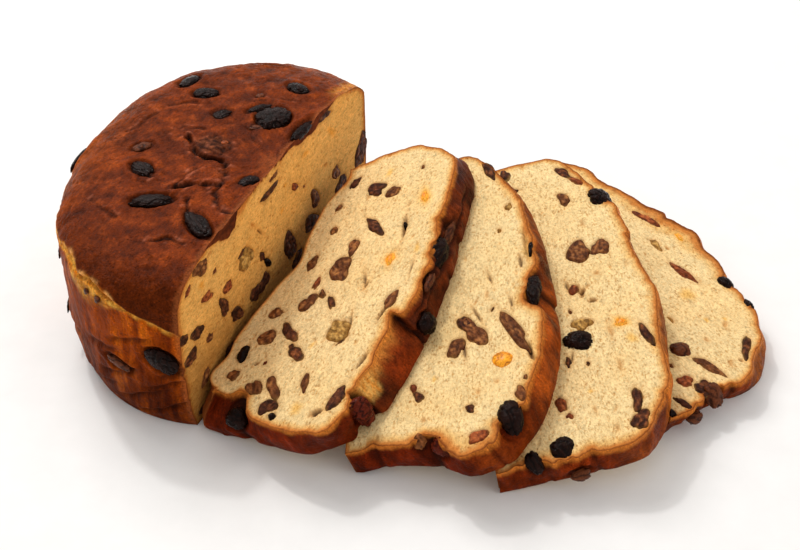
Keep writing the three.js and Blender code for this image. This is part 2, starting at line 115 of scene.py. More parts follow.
FACE_SLICES = [[
    (-71, 57, 6.4, 3.1, 5, 'D'), (-79, 51, 2.3, 1.5, 20, 'H'), (-64, 39, 4.9, 1.9, -15, 'B'), (-83.0, 31.5, 2.0, 1.6, 0, 'K'),
    (-78, 27, 4.6, 3.8, 30, 'D'), (-68, 25, 7.0, 2.7, -33, 'B'), (-69, 16, 4.6, 3.7, -30, 'B'), (-63, 2.6, 3.2, 2.8, 0, 'B'),
    (-51.5, 2.2, 4.2, 2.6, 0, 'K'), (-55, 15, 1.2, .9, 0, 'R'), (-56, 11, .9, .8, 0, 'H'), (-49, 28, 5.0, 3.0, -60, 'D'),
    (-45.5, 24, 2.2, 1.5, -30, 'D'), (-37.5, 19.5, 6.5, 2.8, -48, 'D'), (-41, 9.5, 4.6, 4.2, 60, 'B'), (-27, 7.5, 3.4, 3.0, 0, 'B'),
    (-20, 21, 5.5, 3.5, 12, 'B'), (-14.5, 26.2, 3.0, 1.5, -40, 'B'), (-19, 32.6, 4.8, 1.5, -30, 'D'), (-8, 20.5, 4.4, 1.4, 0, 'R'),
    (-35, 43, 7.0, 4.8, -40, 'T'), (-41, 46.5, 2.4, .8, 35, 'D'), (-31, 47, 5.0, .6, -10, 'S'), (-50, 61, 4.0, .9, 14, 'S'),
    (-16, 61.2, 5.0, 2.7, 10, 'B'), (-24.5, 59.6, 3.0, .9, 10, 'S'), (-5, 44, 4.4, .5, -25, 'S'), (-8, 46, 1.6, .5, 10, 'S'),
    (1, 29, 7.3, 5.3, -20, 'B'), (15, 30, 4.9, 2.9, 0, 'B'), (8, 51.5, 3.4, 2.1, 0, 'O'), (15, 62.5, 3.8, 1.4, -18, 'Y'),
    (48, 54.2, 3.6, 1.5, -18, 'O'), (48, 55, 6, 3, -15, 'Y'), (28, 51.3, 6.2, .9, -12, 'S'), (29, 51.4, 2.0, .9, -10, 'K'), (28, 36, 6.8, 2.9, -50, 'D'),
    (51, 36.5, 3.8, 3.6, 30, 'B'), (53, 27, 4.9, 4.4, 70, 'D'), (64, 30, 3.6, 1.7, 0, 'Y'), (25, 15.5, 3.0, 1.9, -20, 'B'),
    (4, 13, 4.8, 2.4, 5, 'B'), (32, 68.4, 15, 1.1, -4, 'S'), (-6, 72.6, 6.0, .9, -12, 'S'), (-78, 41, 4.5, 3.0, 0, 'Y'), (-44, 34, 2.5, 1.2, 20, 'Y'),
    (57, 14, 4.0, 2.2, 10, 'D'), (40, 12, 2.6, 1.6, 0, 'B'), (68, 46, 1.6, .9, 0, 'B'), (3, 64, 3.4, .4, -8, 'S'),
], [
    (63, 69.0, 4.0, 2.4, 0, 'D'), (69, 61.5, 7.2, 2.5, -22, 'D'), (40, 70.5, 2.6, 1.6, 0, 'T'), (2, 75.5, 3.4, .8, -5, 'S'), (16, 78.0, 10, .9, -3, 'S'),
    (9, 80.2, 4.6, 1.2, 2, 'K'), (-38.5, 71.6, 13.6, 3.1, -25, 'B'), (-53, 78.6, 4.4, 1.1, -14, 'H'), (-22, 70.8, 3.0, .5, -10, 'S'),
    (-24, 62.5, 1.8, .7, 20, 'D'), (-5, 61.4, 3.0, .5, -15, 'S'), (-66, 76, 1.5, 1.0, 0, 'B'), (-74.5, 74.0, 4.6, 2.3, -20, 'B'),
    (-93.2, 56, 3.2, 4.4, 0, 'R'), (-78, 52.6, 2.6, 1.7, -40, 'D'), (-36, 54.5, 9.3, 4.0, -25, 'B'), (-26, 55.6, 4.4, .6, -22, 'S'),
    (-43, 46.2, 6.3, 3.3, 8, 'B'), (-46, 50.0, 4.6, .6, -8, 'S'), (-67, 30.4, 3.5, 1.9, -30, 'D'), (-62, 28, 2.6, 1.5, 0, 'R'),
    (-80, 33, 1.0, .8, 0, 'Z'), (-70, 56, 1.3, .7, 0, 'Z'), (-59, 37, 2.0, 1.2, 0, 'Y'), (-66, 64, .9, .7, 0, 'Z'), (25, 66, 1.5, 1.0, 0, 'T'),
    (-15, 60, 1.6, .6, 0, 'Z'), (-30, 50, 5, 3, -20, 'D'), (20, 40, 5, 3, 30, 'D'), (55, 50, 5.4, 3.2, -20, 'B'), (-20, 25, 5.2, 3.4, 40, 'B'),
    (-45, 12, 5.0, 3.2, -10, 'D'), (5, 18, 6.4, 3.4, 15, 'B'), (35, 22, 4.6, 3.4, 70, 'D'), (60, 25, 5.6, 3.1, -40, 'B'), (72, 8, 4, 2.6, 0, 'D'),
], [
    (83, 58.5, 5.6, 2.3, -32, 'D'), (75, 63.6, 4.6, 1.8, -30, 'R'), (63, 55.5, 4.9, 2.8, -4, 'B'), (24.5, 66, 5.4, 4.3, 20, 'B'), (24, 55.4, 7.2, 5.6, 0, 'B'),
    (-2.2, 52.6, 1.6, 1.3, 20, 'H'), (1.2, 50.6, 1.5, .9, -30, 'H'), (-5, 52, .9, .7, 0, 'H'), (0, 49, 3.2, 2.4, 0, 'R'), (3.0, 46.4, 2.4, .6, -4, 'S'),
    (-22.2, 48.6, 3.7, 4.5, 0, 'T'), (-25.4, 65.4, 2.3, 2.3, 0, 'O'), (-25.4, 65.4, 4.4, 4.0, 0, 'Y'), (-35, 74.6, 7.2, 2.1, -12, 'D'), (-40.5, 76.0, 2.4, .8, -12, 'H'),
    (-43, 39, 3.4, 1.1, 0, 'D'), (-41, 41, 2.6, .5, 15, 'S'), (-46, 47, 1.3, 1.0, 0, 'D'), (-81.5, 62.2, 5.4, 3.6, 24, 'D'), (-70.5, 63, 5.9, 2.5, 8, 'D'),
    (-73, 34.3, 1.8, 1.5, 0, 'R'), (-66, 31.8, 3.8, 2.6, 0, 'R'), (-91, 52, 1.5, 1.0, 0, 'Z'), (-13.5, 45, 1.3, .9, 0, 'B'), (-62, 45, 1.7, 1.2, 0, 'Y'),
    (-50, 60, 2.4, .6, 0, 'Z'), (-9, 56, 1.2, 1.3, 0, 'H'), (8, 61, 1.0, 1.0, 0, 'Z'), (-30, 60, 2.6, .6, 4, 'Z'), (-72, 45, 1.2, .5, 0, 'Z'), (43, 61, 1.4, .5, 0, 'Z'),
    (-84, 52, 1.4, .6, 0, 'Z'), (-36, 68, 4, 3, 0, 'Y'), (-20, 20, 5.5, 3.3, 20, 'B'), (10, 25, 5, 3.6, -30, 'D'), (40, 35, 6, 3.4, 10, 'B'), (75, 30, 5, 3.2, 60, 'D'),
    (50, 12, 5, 3, 0, 'B'), (-50, 14, 5, 3.2, -25, 'D'),
], [
    (-42.5, 76.4, 3.4, 1.4, 4, 'D'), (-67, 57, 7.4, 2.2, 38, 'D'), (-73, 49.5, .9, .7, 0, 'H'), (-70, 34.6, 8.8, 2.5, -20, 'B'), (-81.0, 25, 5.6, 4.4, -10, 'D'),
    (-73, 19.8, 3.9, 3.3, 0, 'R'), (-84, 11, 4.9, 1.8, -15, 'D'), (-87, 2.6, 2.8, 2.0, 0, 'K'), (-10, 63.4, 8.3, 2.5, -5, 'R'), (14, 64.4, 4.8, 1.9, 5, 'T'),
    (34, 72.5, 8.5, 2.3, -14, 'R'), (14, 78, 3.4, 1.2, 0, 'O'), (-36, 38, 2.4, .9, 0, 'T'), (-50, 58, 2.0, .8, 40, 'Z'), (-47, 60, 1.6, .9, 0, 'Y'), (-44, 52, 2.2, 1.2, 0, 'Y'),
    (-62, 20, 1.6, 1, 0, 'B'), (-25, 55, 6, 4, 0, 'Y'), (-55, 44, 1.3, .7, 0, 'Z'), (-73, 44, 1.3, .7, 30, 'Z'), (-10, 38, 5, 3, 30, 'B'), (20, 40, 6, 3, -20, 'D'),
    (55, 45, 5, 3.4, 10, 'B'), (-30, 15, 5, 3, -40, 'D'), (10, 14, 6, 3.2, 15, 'B'), (60, 16, 5, 3, 70, 'D'), (84, 30, 4.6, 3, 20, 'B'),
]]

# Fruit of the CAD frame, each in its holder's own axes (slices: x to the front)
LOAF_FRUIT = [
    ('raisin_top_1', (-18.4, 34.6, 79.3), (9.8, 8.2, 4.6), 108, (0, .04, 1)),
    ('raisin_top_2', (-38.6, -44.0, 78.9), (9, 4.4, 3.0), 23, (-.05, -.03, 1)),
    ('raisin_top_3', (-11.0, -52.8, 79.6), (10, 4.2, 3.0), -38, (0, -.05, 1)),
    ('raisin_top_4', (-60.0, 45.6, 77.4), (6.4, 4.8, 3.4), 10, (-.08, .08, 1)),
    ('raisin_top_5', (-42.9, 30.1, 78.3), (4.8, 4.0, 2.4), 60, (-.02, .02, 1)),
    ('raisin_top_6', (-20.8, 66.4, 76.9), (6.2, 4.6, 3.2), -27, (.02, .14, .99)),
    ('raisin_top_7', (-55.2, -23.0, 78.1), (7.2, 4.2, 2.8), -32, (-.08, 0, 1)),
    ('raisin_side_1', (-8.8, -96.2, 39.6), (8.2, 5.2, 3.6), -24, (0, -1, 0)),
]
SLICE_FRUIT = [
    [('raisin_slice_1a', (16.3, 70.4, 11.4), (9.0, 4.8, 4.0), 0, (0, .90, .43)),
     ('raisin_slice_1b', (-71.6, 66.6, 11.2), (4.6, 6.0, 3.9), 0, (-.35, .85, .35))],
    [('raisin_slice_2a', (-85.6, 69.4, 14.4), (7.8, 5.4, 4.2), 12, (-.15, .2, 1)),
     ('raisin_slice_2b', (-13.0, 80.6, 13.0), (7.0, 3.6, 3.2), 0, (0, .8, .6)),
     ('peel_slice_2', (-54.7, 66.6, 15.2), (4.6, 4.4, 2.4), 20, (0, 0, 1))],
    [('raisin_slice_3a', (-32.0, 45.3, 14.2), (6.5, 5.8, 3.2), 70, (0, 0, 1)),
     ('raisin_slice_3b', (-88.2, 29.5, 13.4), (4.6, 4.4, 3.4), 0, (-.2, 0, 1)),
     ('raisin_slice_3c', (60.0, 71.6, 13.2), (6.4, 5.2, 3.8), 0, (.1, .55, .83))],
    [('raisin_slice_4a', (-25.6, 76.4, 12.6), (4.6, 3.8, 3.0), 0, (0, .5, .87)),
     ('raisin_slice_4b', (-55.5, 29.6, 13.2), (5.2, 4.6, 2.6), 35, (0, 0, 1))],
]
# Lesser fruit in the crust: place, half sizes, turn, out direction, tone
LOAF_MORE = [
    ((-1.8, 30.0, 78.6), (9.5, 2.6, 2.4), 88, (.25, .04, 1), 'K'), ((-5.8, -16.0, 79.3), (5.0, 3.4, 1.8), 63, (0, 0, 1), 'K'),
    ((-65.0, -6.0, 77.2), (4.6, 3.2, 1.8), 50, (-.08, 0, 1), 'D'), ((-75.2, 57, 74.6), (7.2, 4.2, 2.4), 86, (-.17, .12, .98), 'K'),
    ((-48, 91, 69.0), (6.0, 3.0, 2.2), 12, (-.2, .6, .7), 'K'), ((-97.3, -12.0, 65.9), (8.0, 3.2, 2.0), 82, (-.8, -.1, .6), 'K'),
    ((-31.5, -95.0, 30.4), (6.4, 2.5, 1.7), -10, (-.2, -.97, 0), 'D'), ((-37.6, -93.6, 62.2), (2.0, 1.5, 1.2), 60, (-.3, -.9, .2), 'D'),
    ((-44.4, -91.0, 62.6), (1.8, 1.3, 1.0), 40, (-.4, -.9, .2), 'D'), ((-84, -56, 48), (5, 3, 2), 10, (-.8, -.6, 0), 'D'),
    ((-66, 86, 24), (5, 3.4, 2), 30, (-.7, .7, 0), 'D'), ((-103, 28, 30), (5, 3, 2), -20, (-1, .3, 0), 'D'), ((-30, 107.5, 46), (5.4, 3.2, 2), 15, (-.1, 1, 0), 'D'),
    ((-34.0, 52, 78.2), (2.6, 1.8, 1.2), 70, (0, .1, 1), 'D'),
    ((-30, 8, 79.2), (2.0, 1.5, 1.0), 0, (0, 0, 1), 'R'), ((-84, -60.0, 20), (4.6, 2.8, 1.8), -10, (-.8, -.6, 0), 'D'),
    ((-21.5, 24.5, 79.2), (4.2, 2.2, 1.4), 20, (0, 0, 1), 'D'), ((-28.5, 40.5, 78.9), (6.2, 2.6, 1.8), 58, (0, .04, 1), 'K'),
]
# Slices: u, v, w from the lower face, half sizes, turn, out direction, tone
SLICE_MORE = [
    [(-82.0, 11.5, 11.5, (5.2, 4.6, 4.0), 0, (-1, .1, .4), 'K'), (-2.5, 73.6, 13.2, (5.5, 1.9, 2.0), 0, (0, .9, .4), 'D'), (31, 69.5, 8.5, (9, 2.6, 2.2), 0, (0, 1, .1), 'D'),
     (-70.5, 66.5, 4.6, (4.0, 4.2, 3.0), 0, (-.3, 1, .1), 'W'), (-19.5, 75.6, 5.4, (5.4, 5.0, 4.4), 0, (0, 1, .2), 'K')],
    [(-92.4, 40.0, 11.5, (4.6, 3.8, 3.4), 60, (-1, .2, .5), 'W'), (-89.6, 31.0, 13.5, (3.5, 3.0, 2.6), 0, (-.8, 0, .6), 'B'), (-18.5, 80.4, 14.4, (6.6, 3.1, 2.8), 0, (0, .8, .6), 'K'),
     (-96, 56, 5, (4.2, 3.2, 2), 0, (-1, .3, 0), 'D')],
    [(-93.6, 16.0, 13.6, (5.0, 3.6, 3.4), 20, (-.8, 0, .6), 'K'), (-91.0, 27.5, 14.0, (5.2, 4.4, 3.2), 30, (-.5, 0, .9), 'K'), (-97, 34, 5, (4.4, 3.2, 2), 0, (-1, .2, 0), 'D'),
     (60, 74.4, 11.5, (8.2, 3.8, 3.4), 0, (.1, .9, .4), 'K')],
    [(-84.5, 26.5, 11.6, (6.0, 4.6, 3.0), 0, (-.6, .1, .8), 'D'), (-89.0, 14.0, 7.5, (4.0, 3.0, 2.2), 0, (-1, 0, .2), 'D'), (-43.0, 76.4, 12.2, (4.2, 2.2, 2.2), 0, (-.1, .7, .7), 'K'),
     (52, 71, 6.0, (6.2, 4.0, 2.4), 0, (.2, 1, .1), 'D')],
]


# ------------------------------------------------------------------- helpers
def lin(r, g, b):
    c = A([r, g, b], float) / 255.0
    return np.where(c <= 0.04045, c / 12.92, ((c + 0.055) / 1.055) ** 2.4)


def step(e0, e1, x):
    t = np.clip((x - e0) / (e1 - e0), 0, 1)
    return t * t * (3 - 2 * t)


_r = np.random.default_rng(2026)
GRAD = _r.normal(size=(256, 3))
GRAD /= np.linalg.norm(GRAD, axis=1)[:, None]
PERM = _r.permutation(256)


def perlin(P, cell, seed, stretch=(1, 1, 1)):
    """Gradient noise, about -1 to 1, with features of about cell mm."""
    Q = P / (cell * A(stretch, float)) + A([seed * 17.31 + .37, seed * 9.73 + .71, seed * 5.19 + .13])
    i = np.floor(Q).astype(np.int64)
    f = Q - i
    g = f * f * f * (f * (f * 6 - 15) + 10)
    out = 0
    for dx in (0, 1):
        hx = PERM[(i[:, 0] + dx) & 255]
        wx = g[:, 0] if dx else 1 - g[:, 0]
        for dy in (0, 1):
            hy = PERM[(hx + i[:, 1] + dy) & 255]
            wy = g[:, 1] if dy else 1 - g[:, 1]
            for dz in (0, 1):
                h = PERM[(hy + i[:, 2] + dz) & 255]
                wz = g[:, 2] if dz else 1 - g[:, 2]
                d = f - A([dx, dy, dz], float)
                out = out + wx * wy * wz * (GRAD[h] * d).sum(1)
    return out * 1.7


def fbm(P, cell, octaves, seed, stretch=(1, 1, 1), gain=0.5):
    out, amp, tot = 0, 1.0, 0.0
    for k in range(octaves):
        out = out + amp * perlin(P, cell / 2 ** k, seed + 3 * k, stretch)
        tot += amp
        amp *= gain
    return out / tot


def mix(a, b, t):
    t = np.asarray(t)[..., None]
    return a * (1 - t) + b * t


def normals_of(P, F):
    n = np.zeros_like(P)
    f = np.cross(P[F[:, 1]] - P[F[:, 0]], P[F[:, 2]] - P[F[:, 0]])
    for k in range(3):
        np.add.at(n, F[:, k], f)
    return n / np.maximum(np.linalg.norm(n, axis=1), 1e-12)[:, None]


PIECES = []


def add_piece(name, P, F, col, loc, material, replaces=(), rough=None):
    """P in mm in the row frame; col linear colours; loc local mm for the textures."""
    lo, hi = A(CAD_BOX[0]) / MM + .02, A(CAD_BOX[1]) / MM - .02
    P = np.clip(P, lo, hi)
    me = bpy.data.meshes.new(name)
    me.vertices.add(len(P))
    me.vertices.foreach_set('co', (P * MM).astype(np.float32).ravel())
    me.loops.add(3 * len(F))
    me.loops.foreach_set('vertex_index', F.astype(np.int32).ravel())
    me.polygons.add(len(F))
    me.polygons.foreach_set('loop_start', np.arange(0, 3 * len(F), 3, dtype=np.int32))
    me.polygons.foreach_set('use_smooth', np.ones(len(F), bool))
    me.update(calc_edges=True)
    me.validate()
    c = me.color_attributes.new('Col', 'FLOAT_COLOR', 'POINT')
    c.data.foreach_set('color', np.c_[np.clip(col, 0, 1), np.ones(len(P))].astype(np.float32).ravel())
    v = me.attributes.new('loc', 'FLOAT_VECTOR', 'POINT')
    v.data.foreach_set('vector', loc.astype(np.float32).ravel())
    r = me.attributes.new('shine', 'FLOAT', 'POINT')
    r.data.foreach_set('value', (np.zeros(len(P)) if rough is None else rough).astype(np.float32))
    me.materials.append(material)
    o = bpy.data.objects.new(name, me)
    bpy.context.scene.collection.objects.link(o)
    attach(o, 'root')
    if replaces:
        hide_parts(*replaces)
    PIECES.append((name, len(F)))
    return o


def join(parts):
    """parts: list of (P, F, col, loc, shine) into one."""
    P, F, C, L, S, n = [], [], [], [], [], 0
    for (p, f, c, l, s) in parts:
        P.append(p); F.append(f + n); C.append(c); L.append(l); S.append(s)
        n += len(p)
    return np.vstack(P), np.vstack(F), np.vstack(C), np.vstack(L), np.concatenate(S)


# ----------------------------------------------------------------- materials
class Nodes:
    def __init__(self, name):
        self.m = bpy.data.materials.new(name)
        self.m.use_nodes = True
        self.t = self.m.node_tree
        self.t.nodes.clear()
        self.out = self.t.nodes.new('ShaderNodeOutputMaterial')
        self.b = self.t.nodes.new('ShaderNodeBsdfPrincipled')
        self.link(self.b.outputs[0], self.out.inputs['Surface'])

    def link(self, a, b):
        self.t.links.new(a, b)

    def attr(self, name):
        n = self.t.nodes.new('ShaderNodeAttribute')
        n.attribute_name = name
        return n

    def scaled(self, vec, s):
        n = self.t.nodes.new('ShaderNodeMapping')
        n.inputs['Scale'].default_value = s
        self.link(vec, n.inputs['Vector'])
        return n.outputs[0]

    def noise(self, vec, scale, detail=3.0, rough=0.55):
        n = self.t.nodes.new('ShaderNodeTexNoise')
        n.inputs['Scale'].default_value = scale
        n.inputs['Detail'].default_value = detail
        n.inputs['Roughness'].default_value = rough
        self.link(vec, n.inputs['Vector'])
        return n.outputs['Fac']

    def voronoi(self, vec, scale):
        n = self.t.nodes.new('ShaderNodeTexVoronoi')
        n.inputs['Scale'].default_value = scale
        self.link(vec, n.inputs['Vector'])
        return n

    def math(self, op, a, b=None, c=None, clamp=False):
        n = self.t.nodes.new('ShaderNodeMath')
        n.operation = op
        n.use_clamp = clamp
        for k, x in enumerate((a, b, c)):
            if x is None:
                continue
            if isinstance(x, (int, float)):
                n.inputs[k].default_value = x
            else:
                self.link(x, n.inputs[k])
        return n.outputs[0]

    def ramp(self, x, a, b, lo=0.0, hi=1.0):
        n = self.t.nodes.new('ShaderNodeMapRange')
        n.inputs['From Min'].default_value = a
        n.inputs['From Max'].default_value = b
        n.inputs['To Min'].default_value = lo
        n.inputs['To Max'].default_value = hi
        self.link(x, n.inputs['Value'])
        return n.outputs[0]

    def mixcol(self, fac, a, b, blend='MIX'):
        n = self.t.nodes.new('ShaderNodeMix')
        n.data_type = 'RGBA'
        n.blend_type = blend
        n.clamp_factor = True
        for sock, x in ((n.inputs[0], fac), (n.inputs[6], a), (n.inputs[7], b)):
            if isinstance(x, (int, float)):
                sock.default_value = x
            elif isinstance(x, (tuple, list, np.ndarray)):
                sock.default_value = (*[float(q) for q in x], 1.0)
            else:
                self.link(x, sock)
        return n.outputs[2]

    def sep(self, col):
        n = self.t.nodes.new('ShaderNodeSeparateColor')
        self.link(col, n.inputs[0])
        return n.outputs

    def bump(self, height, strength, distance, after=None):
        n = self.t.nodes.new('ShaderNodeBump')
        n.inputs['Strength'].default_value = strength
        n.inputs['Distance'].default_value = distance
        self.link(height, n.inputs['Height'])
        if after is not None:
            self.link(after, n.inputs['Normal'])
        return n.outputs[0]

    def scale_col(self, col, f):
        n = self.t.nodes.new('ShaderNodeVectorMath')
        n.operation = 'SCALE'
        self.link(col, n.inputs[0])
        self.link(f, n.inputs['Scale'])
        return n.outputs[0]


def crumb_material():
    n = Nodes('crumb')
    col = n.attr('Col').outputs['Color']
    loc = n.attr('loc').outputs['Vector']
    deep = n.attr('shine').outputs['Fac']          # 1 where openings and rim stop the fine pores
    long_ = n.scaled(loc, (0.58, 1.0, 1.0))
    keep = n.math('SUBTRACT', 1.0, deep, clamp=True)
    patch = n.ramp(n.noise(loc, 1 / 7.0, 2.0), 0.35, 0.65, 0.45, 1.0)
    # fine pores, longer along the slice. The pores (m1) are coloured tan as painted shade inside them; the grain dents
    # (m2) are darker partly as the crumb's own mottled tone, partly as painted shade.
    v1 = n.voronoi(long_, 1.0 / 1.30)
    r1 = n.math('MULTIPLY_ADD', n.sep(v1.outputs['Color'])[0], 0.95, -0.56)
    m1 = n.math('MULTIPLY', n.math('SUBTRACT', r1, v1.outputs['Distance']), 4.0, clamp=True)
    grain = n.noise(long_, 1 / 0.95, 3.0, 0.65)
    m2 = n.ramp(grain, 0.47, 0.34)
    light = n.ramp(grain, 0.55, 0.70)
    m1 = n.math('MULTIPLY', m1, keep)
    m2 = n.math('MULTIPLY', n.math('MULTIPLY', m2, keep), patch)
    fine = n.noise(loc, 1 / 0.45, 2.0)
    mid = n.noise(long_, 1 / 2.6, 3.0)
    c = n.scale_col(col, n.ramp(fine, 0.25, 0.75, 0.80, 1.15))
    c = n.scale_col(c, n.ramp(mid, 0.3, 0.7, 0.86, 1.09))
    c = n.scale_col(c, n.ramp(n.noise(loc, 1 / 1.25, 2.0, 0.7), 0.32, 0.68, 0.86, 1.12))
    c = n.scale_col(c, n.ramp(n.noise(n.scaled(loc, (0.7, 1.0, 1.3)), 1 / 2.1, 2.0, 0.6), 0.60, 0.74, 1.0, 0.66))
    c = n.scale_col(c, n.math('MULTIPLY_ADD', n.math('MULTIPLY', light, keep), 0.07, 1.0))
    tan = n.mixcol(1.0, col, tuple(lin(196, 146, 84)), 'MULTIPLY')
    tan2 = n.mixcol(1.0, col, tuple(lin(216, 176, 118)), 'MULTIPLY')
    c = n.mixcol(n.math('MULTIPLY', m2, 0.80), c, tan2)
    c = n.mixcol(n.math('MULTIPLY', m1, 0.70), c, tan)
    n.link(c, n.b.inputs['Base Color'])
    h = n.math('SUBTRACT', n.math('MULTIPLY', fine, 0.30), n.math('MULTIPLY_ADD', m1, 0.9, n.math('MULTIPLY', m2, 0.6)))
    n.link(n.bump(h, 0.8, 0.00045), n.b.inputs['Normal'])
    n.b.inputs['Roughness'].default_value = 0.88
    n.b.inputs['Specular IOR Level'].default_value = 0.05
    return n.m


def crust_material():
    n = Nodes('crust')
    col = n.attr('Col').outputs['Color']
    loc = n.attr('loc').outputs['Vector']
    shine = n.attr('shine').outputs['Fac']
    streak = n.scaled(loc, (1.0, 0.42, 1.0))
    s1 = n.noise(streak, 1 / 1.3, 3.0, 0.6)
    s2 = n.noise(loc, 1 / 0.8, 3.0, 0.6)
    s3 = n.noise(loc, 1 / 3.2, 3.0, 0.6)
    c = n.scale_col(col, n.ramp(s1, 0.3, 0.7, 0.72, 1.26))
    c = n.scale_col(c, n.ramp(s2, 0.3, 0.7, 0.78, 1.22))
    flecks = n.math('MULTIPLY', n.ramp(s2, 0.58, 0.70), n.ramp(s3, 0.5, 0.62))
    c = n.scale_col(c, n.math('ADD', 1.0, n.math('MULTIPLY', flecks, 0.55)))
    dark = n.math('MULTIPLY', n.ramp(s2, 0.44, 0.32), n.ramp(s3, 0.52, 0.40))
    c = n.scale_col(c, n.math('SUBTRACT', 1.0, n.math('MULTIPLY', dark, 0.50)))
    n.link(c, n.b.inputs['Base Color'])
    h = n.math('ADD', n.math('MULTIPLY', s1, 0.55), n.math('ADD', n.math('MULTIPLY', s2, 0.45), n.math('MULTIPLY', s3, 0.9)))
    n.link(n.bump(h, 0.8, 0.0007), n.b.inputs['Normal'])
    ro = n.math('SUBTRACT', n.ramp(s2, 0.3, 0.7, 0.38, 0.56), n.math('MULTIPLY', shine, 0.24))
    n.link(ro, n.b.inputs['Roughness'])
    n.b.inputs['Specular IOR Level'].default_value = 0.025
    return n.m


def fruit_material(name, rough, coat, spec, bump):
    n = Nodes(name)
    col = n.attr('Col').outputs['Color']
    loc = n.attr('loc').outputs['Vector']
    s1 = n.noise(loc, 1 / 0.7, 3.0, 0.6)
    s2 = n.noise(loc, 1 / 2.0, 2.0, 0.5)
    c = n.scale_col(col, n.ramp(s1, 0.3, 0.7, 0.66, 1.38))
    c = n.scale_col(c, n.ramp(s2, 0.3, 0.7, 0.80, 1.20))
    n.link(c, n.b.inputs['Base Color'])
    h = n.math('ADD', n.math('MULTIPLY', s1, 0.6), s2)
    n.link(n.bump(h, 0.8, bump), n.b.inputs['Normal'])
    n.link(n.ramp(s2, 0.3, 0.7, rough - .08, rough + .14), n.b.inputs['Roughness'])
    n.b.inputs['Specular IOR Level'].default_value = spec
    n.b.inputs['Coat Weight'].default_value = coat
    n.b.inputs['Coat Roughness'].default_value = 0.22
    return n.m


def floor_material():
    n = Nodes('floor')
    tc = n.t.nodes.new('ShaderNodeTexCoord')
    s = n.noise(tc.outputs['Object'], 60.0, 3.0)
    c = n.mixcol(n.ramp(s, 0.3, 0.7), tuple(lin(246, 245, 244)), tuple(lin(250, 249, 248)))
    n.link(c, n.b.inputs['Base Color'])
    n.b.inputs['Roughness'].default_value = 0.7
    n.b.inputs['Specular IOR Level'].default_value = 0.2
    return n.m


M_CRUMB = crumb_material()
M_CRUST = crust_material()
M_RAISIN = fruit_material('raisin', 0.12, 0.0, 0.065, 0.0006)
M_CUT = fruit_material('raisin_cut', 0.5, 0.0, 0.10, 0.0009)
M_PEEL = fruit_material('peel', 0.32, 0.15, 0.2, 0.0004)

TONE = dict(K=lin(30, 12, 7), W=lin(92, 30, 14), D=lin(96, 50, 28), B=lin(138, 82, 44), R=lin(152, 76, 38), T=lin(184, 138, 70), O=lin(252, 166, 34))
SKIN = dict(K=lin(15, 6, 4), W=lin(50, 13, 8), D=lin(50, 24, 15), B=lin(84, 42, 20), R=lin(104, 44, 20), T=lin(140, 96, 40), O=lin(238, 136, 18))
C_CRUMB = lin(251, 220, 161)
# painted warm bounce light: a deeper orange crumb colour for the loaf's own cut face, which stands in shade
C_LOAF_CRUMB = lin(244, 186, 102)


# ------------------------------------------------------------ shape functions
def profile(s, n=900, nb=400):
    k = int(n * 0.3)
    z1 = np.linspace(0, s['hb'], k, endpoint=False)
    ph = np.linspace(0, 1, n - k) * np.pi / 2
    cx = np.maximum(np.cos(ph), 0) ** (2 / s['p'])
    cz = np.sin(ph) ** (2 / s['q'])

    def side(b, w):
        lo = b + (w - b) * np.sin(np.pi / 2 * z1 / s['hb']) ** 1.5
        return np.concatenate([lo, w * cx]), np.concatenate([z1, s['hb'] + (s['H'] - s['hb']) * cz])
    xf, zf = side(s['bf'], s['wf'])
    xb, zb = side(s['bb'], s['wb'])
    U = np.concatenate([-xf, xb[::-1][1:]])
    V = np.concatenate([zf, zb[::-1][1:]])
    V = V * (1 + s['sl'] * U / 100)
    for (u0, g, w) in s['bumps']:
        V = V * (1 + g / s['H'] * np.exp(-((U - u0) / w) ** 2) * np.clip(V / s['H'], 0, 1) ** 2)
    ub = np.linspace(U[-1], U[0], nb)[1:-1]
    return np.concatenate([U, ub]), np.concatenate([V, 0 * ub])


def even_loop(U, V, gap):
    P = np.c_[np.r_[U, U[0]], np.r_[V, V[0]]]
    L = np.r_[0, np.cumsum(np.hypot(*np.diff(P, axis=0).T))]
    n = int(round(L[-1] / gap))
    t = np.linspace(0, L[-1], n, endpoint=False)
    return np.interp(t, L, P[:, 0]), np.interp(t, L, P[:, 1]), t


def slice_axes(s):
    psi, th, phi = np.radians([s['psi'], s['th'], s['phi']])
    d = A([np.cos(psi), np.sin(psi), 0]); n = A([np.sin(psi), -np.cos(psi), 0]); z = A([0, 0, 1.])
    d2 = d * np.cos(phi) + z * np.sin(phi); z2 = -d * np.sin(phi) + z * np.cos(phi)
    v = n * np.cos(th) + z2 * np.sin(th); w = -n * np.sin(th) + z2 * np.cos(th)
    return np.stack([d2, v, w], 1)


def slice_world(s, L):
    return L @ slice_axes(s).T + A([s['x'], s['y'], s['z']]) + SHIFT


def loaf_axes():
    psi = np.radians(LOAF['psi'])
    return np.stack([A([np.sin(psi), -np.cos(psi), 0]), A([np.cos(psi), np.sin(psi), 0]), A([0, 0, 1.])], 1)


def loaf_world(L):
    return L @ loaf_axes().T + A([LOAF['cx'], LOAF['cy'], 0]) + SHIFT


def loaf_radius(a):
    k = LOAF
    r = k['R'] + k['RL'] * np.sin(a) ** 2
    return (k['c0'] * np.sin(a) + np.sqrt(r ** 2 - (k['c0'] * np.cos(a)) ** 2) + k['l2'] * np.sin(2 * a)
            + k['l3'] * np.sin(3 * a) + k['lb'] * (1 - np.cos(a)) / 2)


